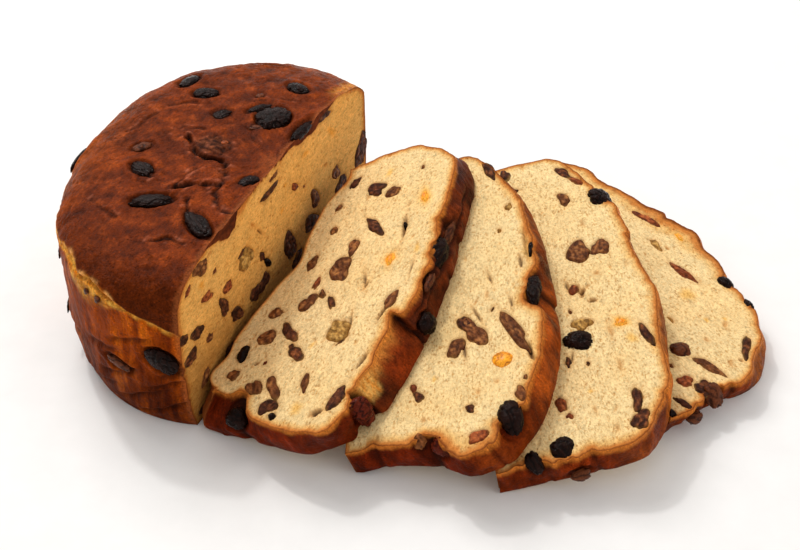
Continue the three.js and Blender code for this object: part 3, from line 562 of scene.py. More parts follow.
def loaf_point(a, t):
    k = LOAF
    R = loaf_radius(a); B = R - k['inset']; hb, H = k['hb'], k['H']
    w = step(2.0, np.pi, a)
    p = k['p'] + (k['pb'] - k['p']) * w; q = k['q'] + (k['qb'] - k['q']) * w
    tb = 0.42
    zl = hb * np.clip(t / tb, 0, 1)
    lo = B + (R - B) * (1 - (1 - zl / hb) ** k['kb'])
    ph = np.clip((t - tb) / (1 - tb), 0, 1) * np.pi / 2
    hi = R * np.maximum(np.cos(ph), 0) ** (2 / p)
    zh = hb + (H - hb) * np.sin(ph) ** (2 / q)
    r = np.where(t < tb, lo, hi); z = np.where(t < tb, zl, zh)
    x = -np.sin(a) * r; y = -np.cos(a) * r
    z = z * (1 + k['tilt'] * y / 100 * np.clip(z / H, 0, 1))
    for (bx, by, g, s) in TOP_BUMPS:
        z = z + g * np.exp(-((x - bx) ** 2 + (y - by) ** 2) / s ** 2) * np.clip(z / H, 0, 1) ** 6
    return x, y, z


def to_line(P, line):
    """Distance of points to a polyline in x, y, and which side they are on."""
    best = np.full(len(P), 1e9); side = np.zeros(len(P))
    for (a, b) in zip(line[:-1], line[1:]):
        a, b = A(a, float), A(b, float)
        d = b - a
        t = np.clip(((P[:, :2] - a) @ d) / (d @ d), 0, 1)
        q = P[:, :2] - (a + t[:, None] * d)
        r = np.hypot(q[:, 0], q[:, 1])
        s = np.sign(d[0] * q[:, 1] - d[1] * q[:, 0])
        better = r < best
        best = np.where(better, r, best); side = np.where(better, s, side)
    return best, side


def wobble(seed):
    """An uneven outline: a factor on the radius for every direction."""
    r = np.random.default_rng(seed)
    k = A([2, 3, 4, 5, 6, 7, 9, 11])
    amp = A([.10, .09, .055, .036, .024, .016, .010, .006]) * r.uniform(.4, 1.6, 8)
    ph = r.uniform(0, 2 * np.pi, 8)
    return lambda th: 1 + (amp * np.sin(np.multiply.outer(th, k) + ph)).sum(-1)


# ---------------------------------------------------------------- cut faces
def inside_loop(g, loop):
    """Crossing-number test, edge by edge over points sorted by height."""
    a, b = loop, np.roll(loop, -1, 0)
    inside = np.zeros(len(g), bool)
    order = np.argsort(g[:, 1], kind='stable'); gy = g[order, 1]
    for (p, q) in zip(a, b):
        y0, y1 = (p[1], q[1]) if p[1] < q[1] else (q[1], p[1])
        if y1 - y0 < 1e-9:
            continue
        i0, i1 = np.searchsorted(gy, [y0, y1])
        ids = order[i0:i1]
        xx = p[0] + (g[ids, 1] - p[1]) / (q[1] - p[1]) * (q[0] - p[0])
        inside[ids] ^= g[ids, 0] < xx
    return inside


def face_points(loop, gap, seed):
    """Points inside a loop on a jittered hexagonal grid, and the triangles."""
    lo, hi = loop.min(0), loop.max(0)
    rows = np.arange(lo[1], hi[1], gap * .866)
    g = []
    for j, y in enumerate(rows):
        xs = np.arange(lo[0], hi[0], gap) + (gap / 2 if j % 2 else 0)
        g.append(np.c_[xs, np.full(len(xs), y)])
    g = np.vstack(g)
    g += np.random.default_rng(seed).uniform(-.18 * gap, .18 * gap, g.shape)
    g = g[inside_loop(g, loop)]
    d = rim_distance(g, loop)
    g = g[d > gap * .55]
    P = np.vstack([loop, g])
    n = len(loop)
    r = delaunay_2d_cdt([Vector(p) for p in P.tolist()], [(i, (i + 1) % n) for i in range(n)], [], 1, 1e-7, False)
    V = A([tuple(v) for v in r[0]]); F = A(r[2])
    return V, F[inside_loop(V[F].mean(1), loop)]


def rim_distance(P, loop):
    out = np.empty(len(P))
    L = loop.astype(np.float32)
    for i in range(0, len(P), 4000):
        q = P[i:i + 4000].astype(np.float32)
        d2 = (q[:, None, 0] - L[None, :, 0]) ** 2 + (q[:, None, 1] - L[None, :, 1]) ** 2
        out[i:i + 4000] = np.sqrt(d2.min(1))
    return out


def crumb_face(loop, feats, seed, base, rim, gap=FACE_STEP, pores=1.0, spill=None):
    """Relief (negative is into the bread), colours and texture control on a face."""
    V, F = face_points(loop, gap, seed)
    Q = np.c_[V, np.full(len(V), seed * 31.0)]
    d = rim_distance(V, loop)
    edge = step(0, 1.6, d)
    h = -0.30 + 0.22 * fbm(Q, 26, 2, seed) + 0.16 * fbm(Q, 6, 2, seed + 1, (1.6, 1, 1)) + 0.07 * perlin(Q, 1.7, seed + 2, (1.7, 1, 1))
    h = np.minimum(h, -0.02)
    col = np.tile(base, (len(V), 1))
    big = fbm(Q, 34, 2, seed + 5); med = fbm(Q, 8, 3, seed + 7)
    col = col * (1 + .045 * big + .035 * med)[:, None]
    col = mix(col, base * lin(255, 232, 190), np.clip(.30 + .6 * perlin(Q, 20, seed + 9), 0, 1) * .35)
    stop = np.zeros(len(V))
    # open pores that the mesh can carry, coloured darker as painted shade inside them
    rng = np.random.default_rng(seed)
    order = np.argsort(V[:, 0], kind='stable'); su = V[order, 0]
    area = np.ptp(loop[:, 0]) * np.ptp(loop[:, 1]) * .82
    lo, hi = loop.min(0), loop.max(0)
    for k in range(int(area * .045 * pores)):
        u, v = rng.uniform(lo[0], hi[0]), rng.uniform(lo[1], hi[1])
        big_one = rng.random()
        a = rng.uniform(.5, 1.2) * (1 + 1.1 * (big_one > .95)); b = a * rng.uniform(.28, .5)
        t = math.radians(rng.normal(4, 22))
        dep = rng.uniform(.25, .7) * (1 + .8 * (big_one > .95)); tone = rng.uniform(.2, .8)
        i0, i1 = np.searchsorted(su, [u - a * 1.6, u + a * 1.6])
        ids = order[i0:i1]
        ids = ids[np.abs(V[ids, 1] - v) < a * 1.6]
        if not len(ids):
            continue
        x, y = V[ids, 0] - u, V[ids, 1] - v
        p, q = x * math.cos(t) + y * math.sin(t), -x * math.sin(t) + y * math.cos(t)
        r = np.hypot(p / a, q / b)
        m = step(1.35, .35, r)
        h[ids] = np.minimum(h[ids], h[ids] - dep * m)
        col[ids] = mix(col[ids], base * lin(206, 156, 96), m * tone * .75)
    # fruit, stains and openings
    discs = []
    for k, (u, v, a, b, ang, kind) in enumerate(feats):
        wob = wobble(seed * 100 + k)
        t = math.radians(ang)
        R = max(a, b) * 2.4 + 2
        ids = np.nonzero((np.abs(V[:, 0] - u) < R) & (np.abs(V[:, 1] - v) < R))[0]
        if not len(ids):
            continue
        x, y = V[ids, 0] - u, V[ids, 1] - v
        p, q = x * math.cos(t) + y * math.sin(t), -x * math.sin(t) + y * math.cos(t)
        th = np.arctan2(q / b, p / a)
        r = np.hypot(p / a, q / b) / wob(th)
        mm = (r - 1) * min(a, b)          # about mm outside the outline
        if kind in 'KDBRTO':
            m = step(.25, -.35, mm)
            h[ids] = mix_s(h[ids], -1.7, m)
            halo = np.exp(-np.clip(mm, 0, None) / .8) * (mm > -.4)
            h[ids] -= .16 * halo * (1 - m)
            stain = {'K': .45, 'D': .40, 'B': .35, 'R': .35, 'T': .3, 'O': .6}[kind]
            tint = base * (lin(255, 214, 120) if kind == 'O' else lin(214, 164, 104))
            spread = np.exp(-np.clip(mm, 0, None) / (1.6 if kind == 'O' else .75))
            col[ids] = mix(col[ids], tint, spread * stain)
            stop[ids] = np.maximum(stop[ids], step(.6, 0, mm))
            discs.append((u, v, a, b, t, kind, wob, seed * 100 + k))
        elif kind == 'Y':
            m = step(1.25, .2, r)
            col[ids] = mix(col[ids], base * lin(252, 214, 112), m * .62)
            h[ids] -= .10 * m
        else:
            dep = {'H': 2.6, 'S': 1.9, 'Z': .8}[kind] * min(1, .45 + min(a, b) * .6)
            soft = {'H': .5, 'S': .4, 'Z': .5}[kind]
            m = step(soft, -soft, mm)
            h[ids] = h[ids] - dep * m
            # openings and dents are coloured dark as painted shade inside them, with a tan ring drawn round each
            tint = {'H': lin(86, 50, 32), 'S': lin(74, 44, 28), 'Z': base * lin(190, 140, 84)}[kind]
            col[ids] = mix(col[ids], tint, m * {'H': .9, 'S': .88, 'Z': .7}[kind])
            col[ids] = mix(col[ids], base * lin(226, 176, 112), np.exp(-np.clip(mm, 0, None) / .7) * (1 - m) * .4)
            stop[ids] = np.maximum(stop[ids], m)
    # browned rim of the cut
    jig = 1 + .45 * fbm(Q, 5, 3, seed + 11)
    wr = rim(V) * np.clip(jig, .35, 2)
    x = d / wr
    c_edge, c_gold, c_pale = lin(118, 56, 22), lin(204, 122, 52), lin(238, 184, 104)
    col = mix(col, c_pale * (base / C_CRUMB) ** .5, .75 * step(2.6, 1.0, x))
    col = mix(col, c_gold, .92 * step(1.35, .45, x))
    col = mix(col, c_edge, .9 * step(.42, .10, x))
    stop = np.maximum(stop, step(.9, .4, x) * .7)
    if spill is not None:
        t = spill(V) + .7 * fbm(Q, 3.5, 3, seed + 17)
        cover = step(.35, -.35, d - t) * step(.6, 1.4, t)
        glow = np.exp(-np.clip(d - t, 0, None) / 1.3) * step(.6, 1.4, t)
        col = mix(col, c_gold, glow * .6)
        skin = mix(np.tile(lin(118, 54, 24), (len(V), 1)), lin(66, 28, 14), np.clip(.5 + 1.1 * fbm(Q, 4, 3, seed + 19), 0, 1))
        col = mix(col, skin, cover)
        stop = np.maximum(stop, cover)
        h = h + .35 * cover - .5 * np.exp(-((d - t - .3) / .5) ** 2) * step(.6, 1.4, t)
    h = h * edge + .10 * fbm(Q, 1.6, 2, seed + 13) * (1 - step(.6, 3.0, x)) * step(0, .5, d)
    h = np.where(d < 1e-4, 0, np.minimum(h, .05))
    return V, F, h, col, stop, discs


def mix_s(a, b, t):
    return a * (1 - t) + b * t


def disc(u, v, a, b, t, kind, wob, seed):
    """A raisin or a piece of peel cut flush with the face, or a whole one in it."""
    na = int(np.clip(2 * math.pi * max(a, b) / .55, 20, 58)); nr = int(np.clip(min(a, b) / .40, 5, 14))
    rr = np.r_[0, np.linspace(0, 1, nr + 1)[1:] ** .85, 1.03, 1.05]
    th = np.linspace(0, 2 * np.pi, na, endpoint=False)
    w = wob(th)
    P = [[0, 0]]; rho = [0.0]
    for r in rr[1:]:
        P += np.c_[r * w * a * np.cos(th), r * w * b * np.sin(th)].tolist()
        rho += [r] * na
    P = A(P); rho = A(rho)
    Q = np.c_[P, np.full(len(P), seed * 7.7)]
    mm = (1 - rho) * min(a, b)
    if kind == 'K':
        lift = min(2.2, .42 * min(a, b) + .5)
        z = -1.2 + (lift + 1.2) * np.sqrt(np.clip(1 - np.clip(rho, 0, 1) ** 2.4, 0, 1))
        wr = .42
    elif kind == 'O':
        z = -.9 + 1.35 * np.clip(1 - rho ** 3, 0, 1)
        wr = .2
    else:
        z = -.95 + .85 * step(0, .9, mm) + .22 * perlin(Q, 5.0, seed % 79)
        wr = .50
    fade = step(0, .8, mm)
    ridge = 1 - np.abs(perlin(Q, 1.9, seed % 97, (1.8, 1, 1)))
    z = z + wr * fade * ((ridge - .72) * 1.2 + .8 * perlin(Q, 2.6, seed % 89))
    z = np.where(rho > 1.02, -1.9, z)
    F = []
    ring = lambda j, i: 1 + j * na + i % na
    for i in range(na):
        F.append((0, ring(0, i), ring(0, i + 1)))
    for j in range(len(rr) - 2):
        for i in range(na):
            F.append((ring(j, i), ring(j + 1, i), ring(j + 1, i + 1)))
            F.append((ring(j, i), ring(j + 1, i + 1), ring(j, i + 1)))
    c, s = math.cos(t), math.sin(t)
    L = np.c_[u + P[:, 0] * c - P[:, 1] * s, v + P[:, 0] * s + P[:, 1] * c, z]
    vary = np.random.default_rng(seed + 5).uniform(.8, 1.25)
    tone = TONE[kind] * vary
    if kind == 'O':
        patch = np.clip(.5 + 1.1 * fbm(Q, 2.2, 2, seed % 83), 0, 1)
        col = mix(np.tile(lin(252, 190, 70), (len(P), 1)), lin(240, 136, 16), np.clip(step(.1, 1.2, mm) * (.55 + .6 * patch), 0, 1))
        return L, A(F), col
    patch = np.clip(.5 + 1.2 * fbm(Q, 3.0, 3, seed % 83, (1.6, 1, 1)), 0, 1)
    fine = np.clip(.5 + 1.1 * perlin(Q, 1.5, seed % 71, (1.5, 1, 1)), 0, 1)
    col = mix(np.tile(SKIN[kind], (len(P), 1)), tone, np.clip(step(.0, 1.1, mm) * (.25 + .85 * patch), 0, 1))
    col = mix(col, SKIN[kind] * .55, np.clip(1.3 - 2.6 * fine, 0, 1) * .75 * fade)
    if kind in 'BDRT':
        # painted highlight: lighter specks on the cut fruit
        glint = {'B': lin(190, 128, 70), 'D': lin(158, 92, 50), 'R': lin(196, 110, 60), 'T': lin(222, 178, 104)}[kind]
        col = mix(col, glint, np.clip(fine * 2.2 - 1.3, 0, 1) * np.clip(patch * 2 - .5, 0, 1) * .75 * fade)
    rag = step(.55, .0, mm) * np.clip(.5 + 1.4 * perlin(Q, 3.5, seed % 67), 0, 1)
    col = mix(col, C_LOAF_CRUMB * .5, rag * (.6 if kind != 'K' else 0))
    return L, A(F), col


# ------------------------------------------------------------------- raisins
def ico(sub):
    import bmesh
    bm = bmesh.new()
    bmesh.ops.create_icosphere(bm, subdivisions=sub, radius=1.0)
    bm.verts.ensure_lookup_table()
    P = A([v.co[:] for v in bm.verts]); F = A([[v.index for v in f.verts] for f in bm.faces])
    bm.free()
    return P / np.linalg.norm(P, axis=1)[:, None], F


ICO = {k: ico(k) for k in (3, 4, 5)}


def raisin(half, seed, sub=4, wrinkle=1.0, kind='K', flat=0.0):
    """A wrinkled dried grape as a closed mesh about its own centre."""
    D, F = ICO[sub]
    h = A(half, float)
    off = A([seed * 3.1, seed * 1.7, -seed * 2.3])
    S = D * h
    th = np.arctan2(D[:, 1], D[:, 0])
    out = mix_s(1, np.clip(wobble(seed * 13 + 5)(th), .72, 1.14), (1 - np.abs(D[:, 2])) ** .5 * wrinkle * (.45 if kind in 'KW' else .7))
    S[:, :2] *= out[:, None]
    S[:, 2] = np.where(S[:, 2] > 0, S[:, 2] * (1 - flat), S[:, 2])
    big = perlin(D * 1.6 + off, 1.0, seed % 31)
    fold = np.abs(perlin(S * A([.5, 1, 1]) + off * 9, 2.6, seed % 37))
    fold2 = np.abs(perlin(S + off * 5, 1.3, seed % 41))
    r = 1 + .07 * big - wrinkle * (.13 * (1 - step(0, .26, fold)) + .06 * (1 - step(0, .3, fold2))) + .03 * wrinkle
    P = S * r[:, None]
    crease = np.clip(1 - fold / .30, 0, 1)
    tone, skin = TONE[kind], SKIN[kind]
    # painted shade: the wrinkle creases are coloured darker
    col = mix(np.tile(tone, (len(P), 1)), skin * .7, crease)
    pale = np.clip(perlin(S + off, 2.4, seed % 43) * 1.4 - .35, 0, 1)
    col = mix(col, tone * 1.5 + .002, pale * .40)
    return P, F, col, crease


def fruit_pose(at, turn, out):
    z = A(out, float); z /= np.linalg.norm(z)
    x = A([0, 1., 0]) if abs(z[0]) > .9 else A([1., 0, 0])
    x = x - z * (x @ z); x /= np.linalg.norm(x)
    y = np.cross(z, x)
    c, s = math.cos(math.radians(turn)), math.sin(math.radians(turn))
    return np.stack([c * x + s * y, -s * x + c * y, z], 1), A(at, float)


def outside(P, at, half, turn, out):
    """About mm from a fruit's side, less than 0 over the fruit itself."""
    M, o = fruit_pose(at, turn, out)
    q = (P - o) @ M
    r = np.sqrt((q[:, 0] / half[0]) ** 2 + (q[:, 1] / half[1]) ** 2 + (q[:, 2] / (1.6 * half[1])) ** 2)
    return (r - 1) * min(half[0], half[1]) * 1.15


# ---------------------------------------------------------------- loaf crust
def tide(a):
    """Height of the line where the dark top ends on the wall."""
    g = np.degrees(a)
    return np.interp(g, [0, 3.2, 6.8, 10.6, 13.2, 17.2, 22, 25, 30, 38, 50, 62, 80, 110, 150, 180],
                     [55.4, 57.3, 60.3, 62.1, 64.2, 66.7, 69.2, 69.3, 68.4, 70.5, 66.5, 68.0, 65.0, 66.5, 64.0, 62.0])


def build_loaf():
    na, nt = 390, 250
    a1 = np.linspace(0, np.pi, na + 1)
    # rows closer together where the wall turns into the dome
    t1 = np.linspace(0, 1, nt + 1)
    t1 = t1 + .035 * np.sin(2 * np.pi * (t1 - .42)) * t1 * (1 - t1) * 4 * .35
    AA, TT = np.meshgrid(a1, t1, indexing='ij')
    x, y, z = loaf_point(AA, TT)
    G = np.stack([x, y, z], -1)
    da = np.gradient(G, axis=0); dt = np.gradient(G, axis=1)
    N = np.cross(da, dt)
    L = np.linalg.norm(N, axis=-1, keepdims=True)
    N = N / np.maximum(L, 1e-9)
    N[:, -1] = (0, 0, 1)
    if N[na // 2, nt // 3, 0] > 0:
        N = -N
    N[:, -1] = (0, 0, 1)
    N[0, :, 0] = 0; N[-1, :, 0] = 0
    N /= np.maximum(np.linalg.norm(N, axis=-1, keepdims=True), 1e-9)
    P = G.reshape(-1, 3); Nn = N.reshape(-1, 3); a = AA.ravel(); g = np.degrees(a)
    zt = tide(a)
    wall = step(66, 58, P[:, 2])                     # 1 on the wall
    top = 1 - wall
    C = np.c_[a * 95, P[:, 2] * 1.0, np.hypot(P[:, 0], P[:, 1])]    # around, up, out
    # lumps and skin
    h = -0.35 + .95 * fbm(P, 30, 2, 3) * (.5 + .5 * top) + .50 * fbm(P, 11, 2, 5) + .16 * fbm(P, 3.4, 3, 7)
    wr = fbm(C, 4.2, 3, 11, (1, 4.5, 2))
    h += .34 * wr * wall
    ridges = 1 - np.abs(perlin(P, 7.5, 13, (1, 1.7, 1)))
    h += top * .40 * (ridges - .6)
    # the dark top ends in a lip over a paler band
    dz = P[:, 2] - zt - 1.2 * fbm(P, 9, 2, 17)
    lip = 1.5 * np.exp(-(np.clip(dz, 0, None) / 3.2)) * (dz > 0) + 1.5 * np.exp(-((dz - 0) / .9) ** 2) * (dz <= 0)
    front = np.exp(-((g - 22) / 22.0) ** 2) * .9 + .3
    h += lip * front * .8
    h -= .9 * np.exp(-((dz + 1.6) / 1.1) ** 2) * front
    # folds low on the front wall
    fold = np.zeros(len(P))
    wz = 1.6 * fbm(C, 10, 2, 19)
    for (g0, z0, slope, dep, wid, half) in ((13, 15, -.55, 1.9, 1.5, 17), (6, 25, -.5, 1.5, 1.4, 12), (19, 25, -.45, 1.3, 1.5, 15), (9, 8, -.42, 1.5, 1.2, 15),
                                            (2.5, 33, -.5, 1.2, 1.2, 9), (30, 11, -.3, 1.4, 1.6, 18), (24, 36, -.25, 1.0, 1.6, 13), (44, 24, -.2, 1.2, 1.8, 20),
                                            (4, 13, -.6, 1.3, 1.2, 9), (14, 46, -.35, 1.0, 1.6, 14), (68, 34, .15, 1.2, 2.0, 22), (95, 20, -.2, 1.3, 2.0, 26),
                                            (118, 44, .3, 1.2, 2.2, 20), (134, 14, -.25, 1.3, 2.0, 30), (150, 33, .15, 1.1, 1.8, 14), (166, 24, -.4, 1.2, 1.8, 13), (80, 50, -.2, 1.0, 1.8, 14), (60, 10, -.15, 1.2, 1.6, 22)):
        q = (P[:, 2] - z0) - slope * (a * 95 - math.radians(g0) * 95) + wz
        along = step(half, half * .45, np.abs(a * 95 - math.radians(g0) * 95)) * wall
        h -= dep * np.exp(-(q / wid) ** 2) * along
        h += dep * .55 * np.exp(-((q - wid * 1.9) / (wid * 1.5)) ** 2) * along
        fold = np.maximum(fold, np.exp(-(q / (wid * .9)) ** 2) * along)
    # splits and the raised blister on the top
    dark = np.zeros(len(P)); lit = np.zeros(len(P))
    warp = np.stack([1.6 * fbm(P, 6, 3, 61), 1.6 * fbm(P, 6, 3, 67)], 1)
    Pw = P[:, :2] + warp
    for line, dep, wid in (([(-49, 7), (-45.7, 4.1), (-41, -2), (-37.4, -4.6), (-31.1, -5.9), (-25.7, -4.7), (-20.1, -9.5)], 2.2, .62),
                           ([(-22.2, -9.4), (-17.5, -17), (-15.1, -23.9), (-14.9, -29.7), (-12, -33)], 1.6, .6),
                           ([(-33, -32), (-30.8, -30.3), (-26.2, -27.1), (-20.8, -26.0), (-16, -24)], 1.7, .6),
                           ([(-46.7, -28.8), (-52, -27), (-58, -24)], 1.0, .6), ([(-24, -38), (-20, -46), (-14, -52)], 1.3, .6),
                           ([(-26, -68), (-18, -64), (-12, -66)], .8, .6), ([(-60, 8), (-54, 14), (-45, 15)], .45, .8),
                           ([(-25.7, -4.7), (-27.5, 2), (-24, 9), (-18, 16)], .7, .6), ([(-36, -5), (-39, 4), (-36, 12)], .7, .6),
                           ([(-70, 30), (-62, 36), (-52, 37)], .45, .8), ([(-33, 45), (-26, 52), (-14, 55)], .5, .7),
                           ([(-12, -35), (-7, -40), (-1, -41)], .8, .6), ([(-31, -16), (-34, -22), (-33, -32)], .9, .6),
                           ([(-66, -48), (-58, -54), (-48, -58)], .5, .8), ([(-82, 2), (-76, 10), (-74, 22)], .5, .8)):
        r, sd = to_line(Pw, line)
        wid = wid * 1.45
        along = np.clip(.75 + 1.1 * perlin(P, 7.0, 71), .2, 1.25)
        h -= dep * np.exp(-(r / wid) ** 2) * top * along
        h += .40 * dep * sd * np.exp(-r / 3.4) * step(.3, 1.2, r) * top * along
        h += .30 * dep * np.exp(-((r - 2.2) / 1.5) ** 2) * top * along
        dark = np.maximum(dark, np.exp(-(r / (wid * (1.3 if dep > 1.5 else 1.05))) ** 2) * min(1, dep) * top * np.clip(along, 0, 1))
        lit = np.maximum(lit, np.exp(-((r - 2.0) / .9) ** 2) * min(1, dep) * top)
    h += 1.1 * np.exp(-(((P[:, 0] + 35) / 8.5) ** 2 + ((P[:, 1] - 4) / 7.5) ** 2) ** 2) * (.4 + fbm(P, 3.0, 2, 59)) * top
    bl = np.exp(-(((P[:, 0] + 25.5) / 8.5) ** 2 + ((P[:, 1] + 16) / 9.5) ** 2) ** 1.5)
    h += 1.3 * bl * top
    fine = 1 - np.abs(perlin(P, 3.2, 73, (1, 1.4, 1)))
    wrk = top * (fine - .62) * (.45 + .75 * np.clip(perlin(P, 18, 79) + .4, 0, 1))
    h += .42 * wrk
    pits = np.clip(perlin(P, 2.1, 83) - .42, 0, 1) * np.clip(perlin(P, 14, 89) + .3, 0, 1)
    h -= 1.5 * pits * top
    # hollows round the fruit
    near = np.zeros(len(P))
    shake = .9 * fbm(P, 4.5, 2, 97)
    for (at, half, turn, out) in [f[1:5] for f in LOAF_FRUIT] + [f[:4] for f in LOAF_MORE]:
        mm = outside(P, at, half, turn, out) + shake
        big = min(1.0, max(half) / 8)
        h += big * (.75 * np.exp(-((mm - 2.6) / 1.7) ** 2) - 1.25 * np.exp(-((mm - .2) / .8) ** 2))
        h -= .5 * big * step(.4, -1.2, mm)
        near = np.maximum(near, np.exp(-np.clip(mm, 0, None) / 1.0) * (.6 + .4 * big))
    rr = np.linalg.norm(P, axis=1)
    h = np.clip(h, -3.2, 2.2)
    h *= np.clip(P[:, 2] / 3.0, 0, 1) * (.15 + .85 * step(0, 9, np.hypot(P[:, 0], P[:, 1])))
    P2 = P + Nn * h[:, None]
    P2[:, 2] = np.clip(P2[:, 2], 0.05, None)
    P2 = P2.reshape(na + 1, nt + 1, 3)
    P2[0, :, 0] = 0; P2[-1, :, 0] = 0; P2[:, -1] = P2[na // 2, -1]; P2[:, -1, 0] = 0; P2[:, -1, 1] = 0
    P2[:, 0, 2] = .05
    P2[..., 0] = np.minimum(P2[..., 0], 0)
    # colours
    f1, f2, f3 = fbm(P, 22, 3, 23), fbm(P, 7, 3, 29), fbm(P, 2.6, 2, 31)
    c_top = mix(np.tile(lin(122, 50, 16), (len(P), 1)), lin(84, 31, 8), np.clip(.5 + 1.1 * f1, 0, 1))
    c_top = mix(c_top, lin(150, 66, 22), np.clip(f2 * 1.7 - .1, 0, 1) * .8)
    c_top = mix(c_top, lin(58, 23, 12), np.clip(-f2 * 1.7 - .1, 0, 1) * .8)
    shoulder = step(80, 62, P[:, 2])
    frontness = step(50, 8, g)
    # painted shade: the lower front of the dome, where it overhangs the wall, is coloured darker
    c_top = mix(c_top, lin(76, 27, 3), step(81, 69, P[:, 2]) * step(78, 22, g) * .9)
    leftness = step(48, 78, g) * (.45 + .55 * step(128, 98, g))
    c_top = mix(c_top, lin(168, 84, 22), np.clip(shoulder * leftness * (1.0 + .9 * f2), 0, 1) * .7)
    w1, w2 = fbm(C, 5, 3, 37, (1, 6, 2)), fbm(C, 1.7, 2, 41, (1, 7, 2))
    c_wall = mix(np.tile(lin(176, 76, 5), (len(P), 1)), lin(102, 35, 1), np.clip(.45 + 1.1 * w1, 0, 1))
    c_wall = mix(c_wall, lin(210, 110, 16), np.clip(w1 * -1.4 + .4 * w2 - .1, 0, 1) * .8)
    c_wall = mix(c_wall, lin(54, 13, 1), step(44, 10, P[:, 2]) * np.clip(.75 + .5 * w1, 0, 1) * .9)
    c_wall = mix(c_wall, lin(196, 106, 10), leftness * .55)
    below = step(.5, -.8, dz)
    col = mix(c_top, c_wall, below)
    bw = 2.6 + 9.5 * np.exp(-((g - 26) / 8.5) ** 2) + 4.0 * step(40, 60, g)
    band = below * step(-bw * 1.25, -bw * .55, dz + 1.5 * w1)
    col = mix(col, mix(np.tile(lin(204, 122, 26), (len(P), 1)), lin(240, 182, 78), np.clip(.45 + 1.2 * f3, 0, 1)), band * np.clip(.75 + .8 * f2, .3, 1) * .95)
    col = mix(col, lin(238, 172, 98), np.exp(-((dz + .2) / .7) ** 2) * front * np.clip(.15 + 1.4 * perlin(C, 7, 47), 0, .6))
    # painted shade: a dark line in the groove under the lip on the front
    col = mix(col, lin(58, 30, 20), np.exp(-((dz + 2.2) / .7) ** 2) * np.clip(.4 + 1.5 * perlin(C, 8, 43), 0, 1) * .5 * frontness)
    rough = np.exp(-(((P[:, 0] + 35) / 8.5) ** 2 + ((P[:, 1] - 4) / 7.5) ** 2) ** 2) * top
    col = mix(col, mix(np.tile(lin(34, 19, 14), (len(P), 1)), lin(112, 62, 38), np.clip(.4 + 1.5 * perlin(P, 2.0, 53), 0, 1)), rough * .9)
    # painted highlight on the raised lips beside the splits
    col = mix(col, lin(176, 100, 72), lit * np.clip(-.1 + 1.6 * perlin(P, 3.0, 57), 0, 1) * .75)
    # painted light and shade from the relief: lighter on the wrinkles and ridges, darker in their valleys and in the
    # pits
    col = col * (1 + .55 * wrk + .30 * top * (ridges - .62) - .9 * pits * top)[:, None].clip(.45, 1.4)
    # painted shade: the splits are coloured near black
    col = mix(col, lin(22, 9, 6), np.clip(dark * 1.25, 0, 1) * .96)
    # painted shade in the folds low on the front wall
    col = mix(col, lin(50, 16, 4), fold * .66)
    # darker round the fruit: partly the dark torn crust there, partly painted shade in the hollows
    col = mix(col, lin(34, 14, 8), np.clip(near * 1.1, 0, 1) * .80)
    col = mix(col, lin(196, 112, 58), np.clip(f3 * 2.0 - 1.1, 0, 1) * top * .5)
    # painted highlight: a golden patch on the top of the crust at the back, by the cut, where its rim catches the light
    painted_rim_light = step(8, .5, -P[:, 0] + 3.0 * f2) * step(62, 76, P[:, 1] + 3 * f2) * step(106, 88, P[:, 1] + 4 * f2) * step(58, 66, P[:, 2])
    col = mix(col, mix(np.tile(lin(214, 118, 34), (len(P), 1)), lin(240, 168, 78), np.clip(.5 + 1.2 * f3, 0, 1)), painted_rim_light * .85)
    rim = step(3.2, .6, -P[:, 0] + .9 * f2)
    col = mix(col, lin(150, 80, 40), rim * .6)
    # painted light and shade from the relief: the top's colour is lighter where it stands out and darker in its hollows
    col = col * (1 + .10 * h / 1.0 * top)[:, None].clip(.75, 1.25)
    shine = np.clip(.35 + .8 * f1, 0, 1) * top + .4 * bl
    loc = np.c_[C[:, 0], P[:, 2] * .9 + top * (99 - C[:, 2]), C[:, 2] * .4]
    loc = np.where(top[:, None] > .5, P, np.c_[C[:, 0], P[:, 2], C[:, 2]])
    # faces
    idx = np.arange((na + 1) * (nt + 1)).reshape(na + 1, nt + 1)
    i0, i1 = idx[:-1, :-1].ravel(), idx[1:, :-1].ravel()
    j1, j0 = idx[1:, 1:].ravel(), idx[:-1, 1:].ravel()
    F = np.vstack([np.c_[i0, j1, i1], np.c_[i0, j0, j1]])
    keep = np.ones(len(F), bool)
    last = np.r_[np.tile(np.arange(nt), na)] == nt - 1
    keep[len(i0):][last] = False
    F = F[keep]
    pole = idx[0, -1]
    F[np.isin(F, idx[:, -1])] = pole
    P3 = P2.reshape(-1, 3)
    # flat base, a little ragged in tone
    base_ring = idx[:, 0]
    nb = len(P3)
    loop = P3[base_ring][:, :2]
    V, FB = face_points(loop, 3.0, 71)
    used = V[len(loop):]
    extra = np.c_[used, .05 + .35 * np.abs(perlin(np.c_[used, 0 * used[:, :1]], 9, 3)) * 0]
    remap = np.r_[base_ring, nb + np.arange(len(used))]
    FB = remap[FB]
    P3 = np.vstack([P3, extra])
    basecol = np.tile(lin(140, 80, 40), (len(extra), 1)) * (1 + .12 * perlin(extra, 14, 5))[:, None]
    col = np.vstack([col, basecol]); loc = np.vstack([loc, extra]); shine = np.r_[shine, np.zeros(len(extra))]
    fn = np.cross(P3[FB[:, 1]] - P3[FB[:, 0]], P3[FB[:, 2]] - P3[FB[:, 0]])[:, 2].sum()
    if fn > 0:
        FB = FB[:, ::-1]
    mid = P3[F].mean(1); out = np.cross(P3[F[:, 1]] - P3[F[:, 0]], P3[F[:, 2]] - P3[F[:, 0]])
    if (out * (mid - A([-30, 0, 35]))).sum() < 0:
        F = F[:, ::-1]
    Fall = np.vstack([F, FB])
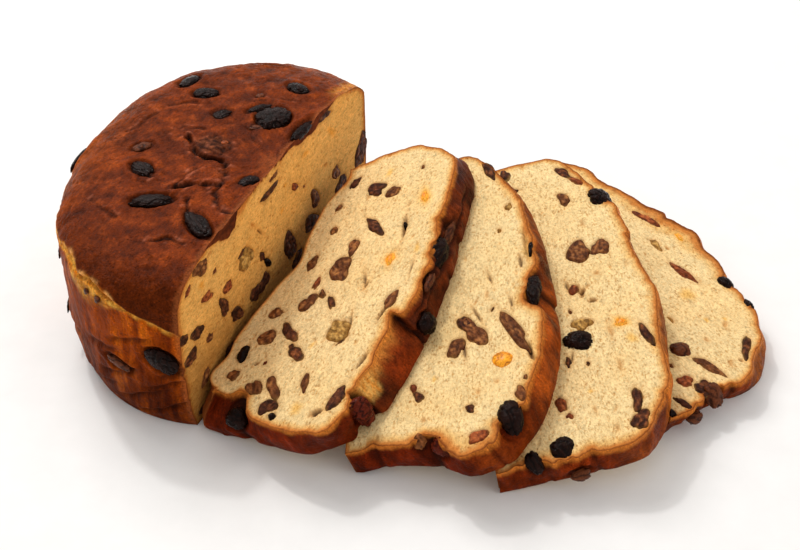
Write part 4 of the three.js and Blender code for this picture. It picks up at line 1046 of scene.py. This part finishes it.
    # only the vertices in use
    used_v = np.unique(Fall); new = -np.ones(len(P3), int); new[used_v] = np.arange(len(used_v))
    add_piece('loaf_crust', loaf_world(P3[used_v]), new[Fall], col[used_v], loc[used_v], M_CRUST, ('loaf',), shine[used_v])

    # the cut face: up the front edge, over the top, down the back, along the base
    front_edge, back_edge = P2[0], P2[-1][::-1]
    base_n = int((front_edge[0, 1] * -1 + back_edge[-1, 1]) / .6)
    base_line = np.c_[np.linspace(back_edge[-1, 1], front_edge[0, 1], base_n)[1:-1], np.full(base_n - 2, .05)]
    loop = np.vstack([front_edge[:, 1:], back_edge[1:, 1:], base_line])

    def rim(V):
        w = 1.5 + 1.0 * step(40, 75, V[:, 1]) * step(-30, -60, V[:, 0]) + 1.6 * step(-82, -94, V[:, 0]) + 1.0 * step(70, 90, V[:, 0])
        w = w + 3.0 * np.exp(-((V[:, 0] + 36) / 9) ** 2) * step(60, 76, V[:, 1])
        return w * np.where(V[:, 1] < 20, .6, 1)
    feats = [(u + 4.7, v - 2.7, a_, b_, t_, k_) for (u, v, a_, b_, t_, k_) in FACE_LOAF]
    def spill(V):
        y = V[:, 0]
        t = np.interp(y, [-70, -62, -55, -47, -41, -37.5, -30, -10, 8, 19, 33, 46, 52, 60, 75, 95], [.3, 2.2, 4.6, 8.2, 7.6, 1.2, .7, 1.3, 2.0, 2.8, 4.4, 5.6, 3.6, 1.2, .3, .3])
        return np.where(V[:, 1] > 55, t, 0)

    V, F, h, col, stop, discs = crumb_face(loop, feats, 1, C_LOAF_CRUMB, rim, pores=.9, spill=spill)
    Q = np.c_[V, 0 * V[:, :1]]
    col = col * (1 + .16 * fbm(Q, 9, 3, 63) + .10 * fbm(Q, 2.4, 2, 65, (1.5, 1, 1)))[:, None].clip(.6, 1.3)
    # painted shade: the lower front part of the cut face is coloured darker
    low = step(52, 18, V[:, 1]) * step(50, -50, V[:, 0])
    col = mix(col, col * lin(196, 184, 170), low * .95)
    # painted highlight: a bright orange patch at the back top of the cut face
    glow = step(10, 3, np.abs(V[:, 0] - 71)) * step(62, 72, V[:, 1])
    col = mix(col, lin(248, 178, 86), glow * .6 * (1 - .5 * stop))
    L = np.c_[h, V]
    q = np.cross(L[F[:, 1]] - L[F[:, 0]], L[F[:, 2]] - L[F[:, 0]])[:, 0].sum()
    if q < 0:
        F = F[:, ::-1]
    add_piece('loaf_crumb', loaf_world(L), F, col, np.c_[V, 0 * h], M_CRUMB, (), stop)
    parts = []
    for dd in discs:
        l, f, c = disc(*dd)
        parts.append((dd[5], loaf_world(np.c_[l[:, 2], l[:, 0], l[:, 1]]), f, c, l + 300))
    return parts


def build_slice(k):
    s = SLICES[k]
    U0, V0 = profile(s)
    U, V, S = even_loop(U0, V0, BAND_STEP)
    n = len(U)
    nrow = int(s['T'] / BAND_STEP)
    cu, cv = 0.0, s['H'] * .45
    rows = []
    for j in range(nrow + 1):
        f = j / nrow
        su = s['ou'] + (1 - s['ou']) * f; sv = s['ov'] + (1 - s['ov']) * f
        b = 4 * f * (1 - f)
        du, dv = U - cu, V - cv
        Lr = np.hypot(du, dv); m = np.clip(V / 8, 0, 1)
        uu = U * su + b * m * du / Lr; vv = V * sv + b * m * dv / Lr
        for (u0, v0, pu, pv, reach, *grow) in PULLS[k]:
            g = float(step(*(grow or (.10, .95)), A(f)))
            w = np.exp(-((U - u0) ** 2 + (V - v0) ** 2) / reach ** 2) * g
            uu = uu + pu * w; vv = vv + pv * w
        rows.append(np.stack([uu, vv, np.full(n, s['T'] * f)], -1))
    G = A(rows)                                     # row, along, 3
    t = np.roll(G, -1, 1) - np.roll(G, 1, 1)
    N = np.stack([-t[..., 1], t[..., 0], 0 * t[..., 0]], -1)
    N /= np.maximum(np.linalg.norm(N, axis=-1, keepdims=True), 1e-9)
    P = G.reshape(-1, 3); Nn = N.reshape(-1, 3)
    f = P[:, 2] / s['T']
    Vr = np.tile(V, nrow + 1); Ur = np.tile(U, nrow + 1); Sr = np.tile(S, nrow + 1)
    dome = step(.55, .85, Vr / s['H'])
    base = step(.8, .2, Vr) * (np.abs(Ur) < s['wf'])
    seed = 50 + 10 * k
    h = -.20 + 1.5 * fbm(P, 17, 2, seed) + .75 * fbm(P, 7.0, 2, seed + 1, (1, 1, 1.5)) + .26 * fbm(P, 2.6, 2, seed + 2, (1, 1, 1.8))
    h = h * (1 - base) * (.55 + .45 * step(0, .25, f))
    h -= .35 * np.exp(-((f - .55) / .35) ** 2) * (1 - dome) * (1 - base) * perlin(P, 9, seed + 3, (1, 1, 4))
    dark = np.zeros(len(P))
    for (u0, v0, dep, wid, lift, reach) in CREASES[k]:
        i = int(np.argmin((U - u0) ** 2 + (V - v0) ** 2))
        ds = Sr - S[i]
        tot = S[-1] + BAND_STEP
        ds = (ds + tot / 2) % tot - tot / 2 + .8 * perlin(P, 5, seed + 4)
        h -= dep * np.exp(-(ds / wid) ** 2) * (.45 + .55 * f)
        h += lift * np.exp(-np.clip(ds - wid * .6, 0, None) / reach * 2) * step(0, wid * .8, ds)
        dark = np.maximum(dark, np.exp(-(ds / (wid * .55)) ** 2) * min(1, dep / 2.5))
    if k == 0:
        for (fm, lo, hi, dep, wd) in ((.74, -22, 34, 1.1, .055), (.52, -16, 12, .8, .06), (.40, 20, 62, .8, .06)):
            run = step(lo - 5, lo + 5, Ur) * step(hi + 5, hi - 5, Ur) * dome
            q = f - fm - .10 * perlin(P * A([1, 1, 0]), 14, seed + 9) - .03 * perlin(P * A([1, 1, 0]), 4, seed + 10)
            h -= dep * np.exp(-(q / wd) ** 2) * run
            h += .5 * dep * np.exp(-((q - 2.4 * wd) / (1.6 * wd)) ** 2) * run
            dark = np.maximum(dark, np.exp(-(q / (wd * .8)) ** 2) * run * .85)
    near = np.zeros(len(P))
    Pf = P * A([-1, 1, 1]); shake = .7 * fbm(P, 4.5, 2, seed + 8)
    for (u0, v0, w0, half, turn, out) in [(*f_[1], *f_[2:5]) for f_ in SLICE_FRUIT[k]] + [f_[:6] for f_ in SLICE_MORE[k]]:
        mm = outside(Pf, (-u0, v0, w0), half, turn, (-out[0], out[1], out[2])) + shake
        near = np.maximum(near, np.exp(-np.clip(mm, 0, None) / 1.3))
        h += .5 * np.exp(-((mm - 2.4) / 1.4) ** 2) - .9 * np.exp(-((mm - .2) / .7) ** 2)
    h = np.clip(h, -4.5, 1.9) * (1 - base)
    h = np.minimum(h, .15 + 1.9 * step(.0, .2, f) * 1.0)
    P2 = (P + Nn * h[:, None]).reshape(nrow + 1, n, 3)
    # colour
    f1, f2, f3 = fbm(P, 20, 3, seed + 5), fbm(P, 6, 3, seed + 6, (1, 1, 2.5)), fbm(P, 1.8, 2, seed + 7, (1, 1, 4))
    tops = [lin(112, 46, 16), lin(186, 86, 24), lin(212, 116, 42), lin(206, 120, 48)][k]
    deeps = [lin(60, 24, 12), lin(96, 40, 17), lin(128, 60, 24), lin(132, 66, 28)][k]
    # the slices' side crust colours are partly the crust's own colour, partly painted shade: darker than the same crust
    # on the loaf's wall
    walls = [lin(108, 32, 4), lin(104, 30, 3), lin(122, 42, 6), lin(122, 48, 12)][k]
    c = mix(np.tile(tops, (len(P), 1)), deeps, np.clip(.45 + 1.1 * f1 + .9 * f2, 0, 1))
    cw = mix(np.tile(walls, (len(P), 1)), walls * .5, np.clip(.4 + 1.1 * f1 + .9 * f2, 0, 1))
    cw = mix(cw, walls * 1.7, np.clip(-.1 - 1.2 * f2, 0, 1) * .7)
    c = mix(cw, c, dome)
    c = c * (1 + .38 * f3)[:, None].clip(.45, 1.7)
    # painted light and shade from the relief: lighter where the crust stands out, darker in its hollows
    c = c * (1 + .30 * np.clip(h, -1.2, 1.2))[:, None]
    if k == 0:   # the pale band and the smooth lobe beside the notch
        pale = np.exp(-(((Ur + 60) / 7.0) ** 2)) * step(.35, .75, f + .25 * f2) * step(55, 62, Vr)
        c = mix(c, mix(np.tile(lin(240, 184, 98), (len(P), 1)), lin(222, 140, 52), np.clip(.4 + 1.2 * f3, 0, 1)), np.clip(pale * 1.2, 0, 1) * .9)
        lobe = np.exp(-(((Ur + 41) / 10.5) ** 2) ** 2) * dome
        c = mix(c, mix(np.tile(lin(152, 58, 17), (len(P), 1)), lin(98, 34, 8), np.clip(.5 + f2 + .8 * f3, 0, 1)), lobe * .85)
        c = mix(c, lin(232, 150, 66), np.exp(-(((Ur + 44) / 13) ** 2) ** 2) * dome * step(.55, 1.0, f + .15 * f2) * .75)
    c = mix(c, lin(140, 80, 38), base * .8)
    # painted shade: the creases and the first slice's long grooves are coloured near black
    c = mix(c, lin(30, 12, 7), dark * .85)
    # darker round the fruit: partly the dark torn crust there, partly painted shade in the hollows
    c = mix(c, lin(46, 20, 11), near * .65)
    c = mix(c, mix(np.tile(walls * .95, (len(P), 1)), walls * .5, np.clip(.5 + 1.2 * f2, 0, 1)), step(-62, -84, Ur) * dome * .8)
    if k == 1:
        c = mix(c, c * .55, step(-25, 5, Ur) * dome * .8)
    # the upper edge of the crust next to the cut face is coloured golden: partly the paler cut edge of the crust,
    # partly a painted highlight where that edge catches the light
    lip = step([.84, .80, .74, .74][k], .99, f + .10 * f2)
    c = mix(c, lin(206, 120, 46), lip * .8)
    shine = np.clip(.4 + .9 * f1, 0, 1) * dome
    # faces of the crust, closed round
    idx = np.arange(len(P)).reshape(nrow + 1, n)
    i0 = idx[:-1].ravel(); i1 = np.roll(idx, -1, 1)[:-1].ravel(); j1 = np.roll(idx, -1, 1)[1:].ravel(); j0 = idx[1:].ravel()
    F = np.vstack([np.c_[i0, i1, j1], np.c_[i0, j1, j0]])
    W = slice_world(s, P2.reshape(-1, 3))
    mid = W[F].mean(1); out = np.cross(W[F[:, 1]] - W[F[:, 0]], W[F[:, 2]] - W[F[:, 0]])
    if (out * (mid - W.mean(0))).sum() < 0:
        F = F[:, ::-1]
    loc = np.c_[Sr, P[:, 2], 40.0 * k + 0 * Sr]
    name = 'slice_%d' % (k + 1)
    add_piece(name + '_crust', W, F, c, loc, M_CRUST, (name,), shine)

    # upper cut face
    loop = P2[-1][:, :2]

    def rim(V):
        wide = [1.5, 1.7, 1.6, 1.5][k]
        w = wide * (1 + .9 * step(-78, -92, V[:, 0]) + .35 * step(.7 * s['H'], .95 * s['H'], V[:, 1]))
        if k == 1:
            w = w + 2.2 * np.exp(-(((V[:, 0] + 95) / 7) ** 2 + ((V[:, 1] - 52) / 11) ** 2))
        if k == 0:
            w = w + 1.4 * np.exp(-(((V[:, 0] + 40) / 13) ** 2 + ((V[:, 1] - 69) / 9) ** 2))
        if k == 3:
            wide = np.interp(V[:, 0], [-62, -48, -35, -20, -8, 11, 22, 33, 47, 60, 98], [1.4, 1.7, 2.2, 3.0, 3.8, 5.2, 6.2, 6.4, 4.8, 3.8, 3.2])
            w = np.maximum(w, wide * step(50, 62, V[:, 1]))
        return w * np.where(V[:, 1] < 9, .55, 1)
    V2, F2, h2, c2, stop, discs = crumb_face(loop, FACE_SLICES[k], 2 + k, C_CRUMB * [.97, 1.0, 1.0, .99][k], rim, pores=[1, 1, 1.25, .8][k])
    L = np.c_[V2, s['T'] + h2]
    W2 = slice_world(s, L)
    w_dir = slice_axes(s)[:, 2]
    if (np.cross(W2[F2[:, 1]] - W2[F2[:, 0]], W2[F2[:, 2]] - W2[F2[:, 0]]).sum(0) @ w_dir) < 0:
        F2 = F2[:, ::-1]
    add_piece(name + '_crumb', W2, F2, c2, np.c_[V2, 0 * h2 + 20 * (k + 1)], M_CRUMB, (), stop)
    parts = []
    for dd in discs:
        l, f_, cc = disc(*dd)
        wp = slice_world(s, np.c_[l[:, :2], s['T'] + l[:, 2]])
        parts.append((dd[5], wp, f_[:, ::-1], cc, l + 50 * (k + 1)))
    # lower cut face, mostly hidden
    loop0 = P2[0][:, :2]
    V3, F3, h3, c3, stop3, _ = crumb_face(loop0[::2], [], 12 + k, C_CRUMB * .96, lambda V: 1.5 + 0 * V[:, 0], gap=2.0, pores=.12)
    W3 = slice_world(s, np.c_[V3, -h3])
    if (np.cross(W3[F3[:, 1]] - W3[F3[:, 0]], W3[F3[:, 2]] - W3[F3[:, 0]]).sum(0) @ w_dir) > 0:
        F3 = F3[:, ::-1]
    add_piece(name + '_under', W3, F3, c3, np.c_[V3, 0 * h3 - 20 * (k + 1)], M_CRUMB, (), stop3)
    return parts


cut = build_loaf()
for k in range(4):
    cut += build_slice(k)

# ------------------------------------------------------ fruit in the cut faces
whole, flush, peel = [], [], []
for (kind, W, F, c, l) in cut:
    (peel if kind == 'O' else whole if kind == 'K' else flush).append((W, F, c, l, np.zeros(len(W))))

# ----------------------------------------------------------- fruit of the frame
def place(name, holder, at, half, turn, out, seed, sub, kind, wrinkle=1.0, flat=0.0):
    P, F, c, crease = raisin(half, seed, sub, wrinkle, kind, flat)
    M, o = fruit_pose(at, turn, out)
    L = P @ M.T + o
    if holder < 0:
        W = loaf_world(L)
    else:
        s = SLICES[holder]
        W = slice_world(s, L * A([-1, 1, 1]))
    return W, F, c, P + seed


for q, (name, at, half, turn, out) in enumerate(LOAF_FRUIT):
    W, F, c, l = place(name, -1, at, half, turn, out, 11 + q, 5, 'K', 1.0, .42 if 'top' in name else .3)
    add_piece(name + '_look', W, F, c, l, M_RAISIN, (name,))
for k, fruit in enumerate(SLICE_FRUIT):
    for q, (name, at, half, turn, out) in enumerate(fruit):
        is_peel = name.startswith('peel')
        at2 = (-at[0], at[1], at[2]); out2 = (-out[0], out[1], out[2])
        kind = 'O' if is_peel else 'W' if name.endswith('1b') else 'D' if name.endswith('4b') else 'K'
        W, F, c, l = place(name, k, at2, half, turn, out2, 31 + 5 * k + q, 5 if k < 3 else 4, kind, .35 if is_peel else 1.0)
        add_piece(name + '_look', W, F, c, l, M_PEEL if is_peel else M_RAISIN, (name,))
for q, (at, half, turn, out, kind) in enumerate(LOAF_MORE):
    W, F, c, l = place('', -1, at, half, turn, out, 61 + q, 4 if max(half) >= 4 else 3, kind, 1.0, .3)
    whole.append((W, F, c, l, np.zeros(len(W))))
for k, more in enumerate(SLICE_MORE):
    for q, (u, v, w, half, turn, out, kind) in enumerate(more):
        W, F, c, l = place('', k, (-u, v, w), half, turn, (-out[0], out[1], out[2]), 91 + 7 * k + q, 4 if max(half) >= 4 else 3, kind)
        whole.append((W, F, c, l, np.zeros(len(W))))

for name, parts, m, slot in (('raisins_whole', whole, M_RAISIN, 'raisin'), ('raisins_cut', flush, M_CUT, 'raisin'), ('peel_bits', peel, M_PEEL, 'peel')):
    P, F, c, l, sh = join(parts)
    add_piece(name, P, F, c, l, m, (), sh)

# ---------------------------------------------------------------- floor, light
me = bpy.data.meshes.new('floor')
nf = 24
gx = np.linspace(-4, 4, nf + 1)
X, Y = np.meshgrid(gx, gx, indexing='ij')
fp = np.c_[X.ravel(), Y.ravel(), np.full(X.size, -0.0004)]
ii = np.arange((nf + 1) ** 2).reshape(nf + 1, nf + 1)
fq = np.stack([ii[:-1, :-1].ravel(), ii[1:, :-1].ravel(), ii[1:, 1:].ravel(), ii[:-1, 1:].ravel()], 1)
me.from_pydata(fp.tolist(), [], fq.tolist())
me.materials.append(floor_material())
floor = bpy.data.objects.new('floor', me)
bpy.context.scene.collection.objects.link(floor)

scene = bpy.context.scene
centre = A([-6.57, -10.90, 30.0]) * MM


def area_light(name, direction, dist, size, power, colour):
    d = A(direction, float); d /= np.linalg.norm(d)
    L = bpy.data.lights.new(name, 'AREA')
    L.shape = 'DISK'; L.size = size; L.energy = power; L.color = colour
    o = bpy.data.objects.new(name, L)
    o.location = Vector((centre + d * dist).tolist())
    o.rotation_euler = Vector((-d).tolist()).to_track_quat('-Z', 'Y').to_euler()
    scene.collection.objects.link(o)
    return o


area_light('key', (-.36, .50, .80), 1.3, .8, 7.4, (1.0, .985, .96))
area_light('spark', (-.34, .42, .84), 1.3, .09, 3.3, (1.0, .985, .96))
area_light('fill', (.85, -.65, .60), 1.6, 1.0, 3.4, (1.0, .97, .93))
world = bpy.data.worlds.new('studio')
world.use_nodes = True
world.node_tree.nodes['Background'].inputs[0].default_value = (1.0, .985, .965, 1)
world.node_tree.nodes['Background'].inputs[1].default_value = 0.64
scene.world = world
scene.view_settings.view_transform = 'Standard'
scene.view_settings.look = 'None'

# --------------------------------------------------------------------- camera
E, DIST, FOCAL, ROLL = math.radians(38.33), 640.8 * MM, 1404.5, -0.0104
back = A([0, math.cos(E), -math.sin(E)])             # the way the camera looks
right = A([1.0, 0, 0]); up = A([0, math.sin(E), math.cos(E)])
c, s_ = math.cos(ROLL), math.sin(ROLL)
r2, u2 = c * right + s_ * up, -s_ * right + c * up
pos = centre - DIST * back
cam = bpy.data.cameras.new('camera')
cam.sensor_fit = 'HORIZONTAL'; cam.sensor_width = 36.0; cam.lens = FOCAL / 800 * 36.0
cam.clip_start = .01; cam.clip_end = 20
co = bpy.data.objects.new('camera', cam)
M = Matrix.Identity(4)
for i in range(3):
    M[i][0], M[i][1], M[i][2], M[i][3] = float(r2[i]), float(u2[i]), float(-back[i]), float(pos[i])
co.matrix_world = M
scene.collection.objects.link(co)
scene.camera = co

print('pieces', PIECES, 'triangles', sum(p[1] for p in PIECES))
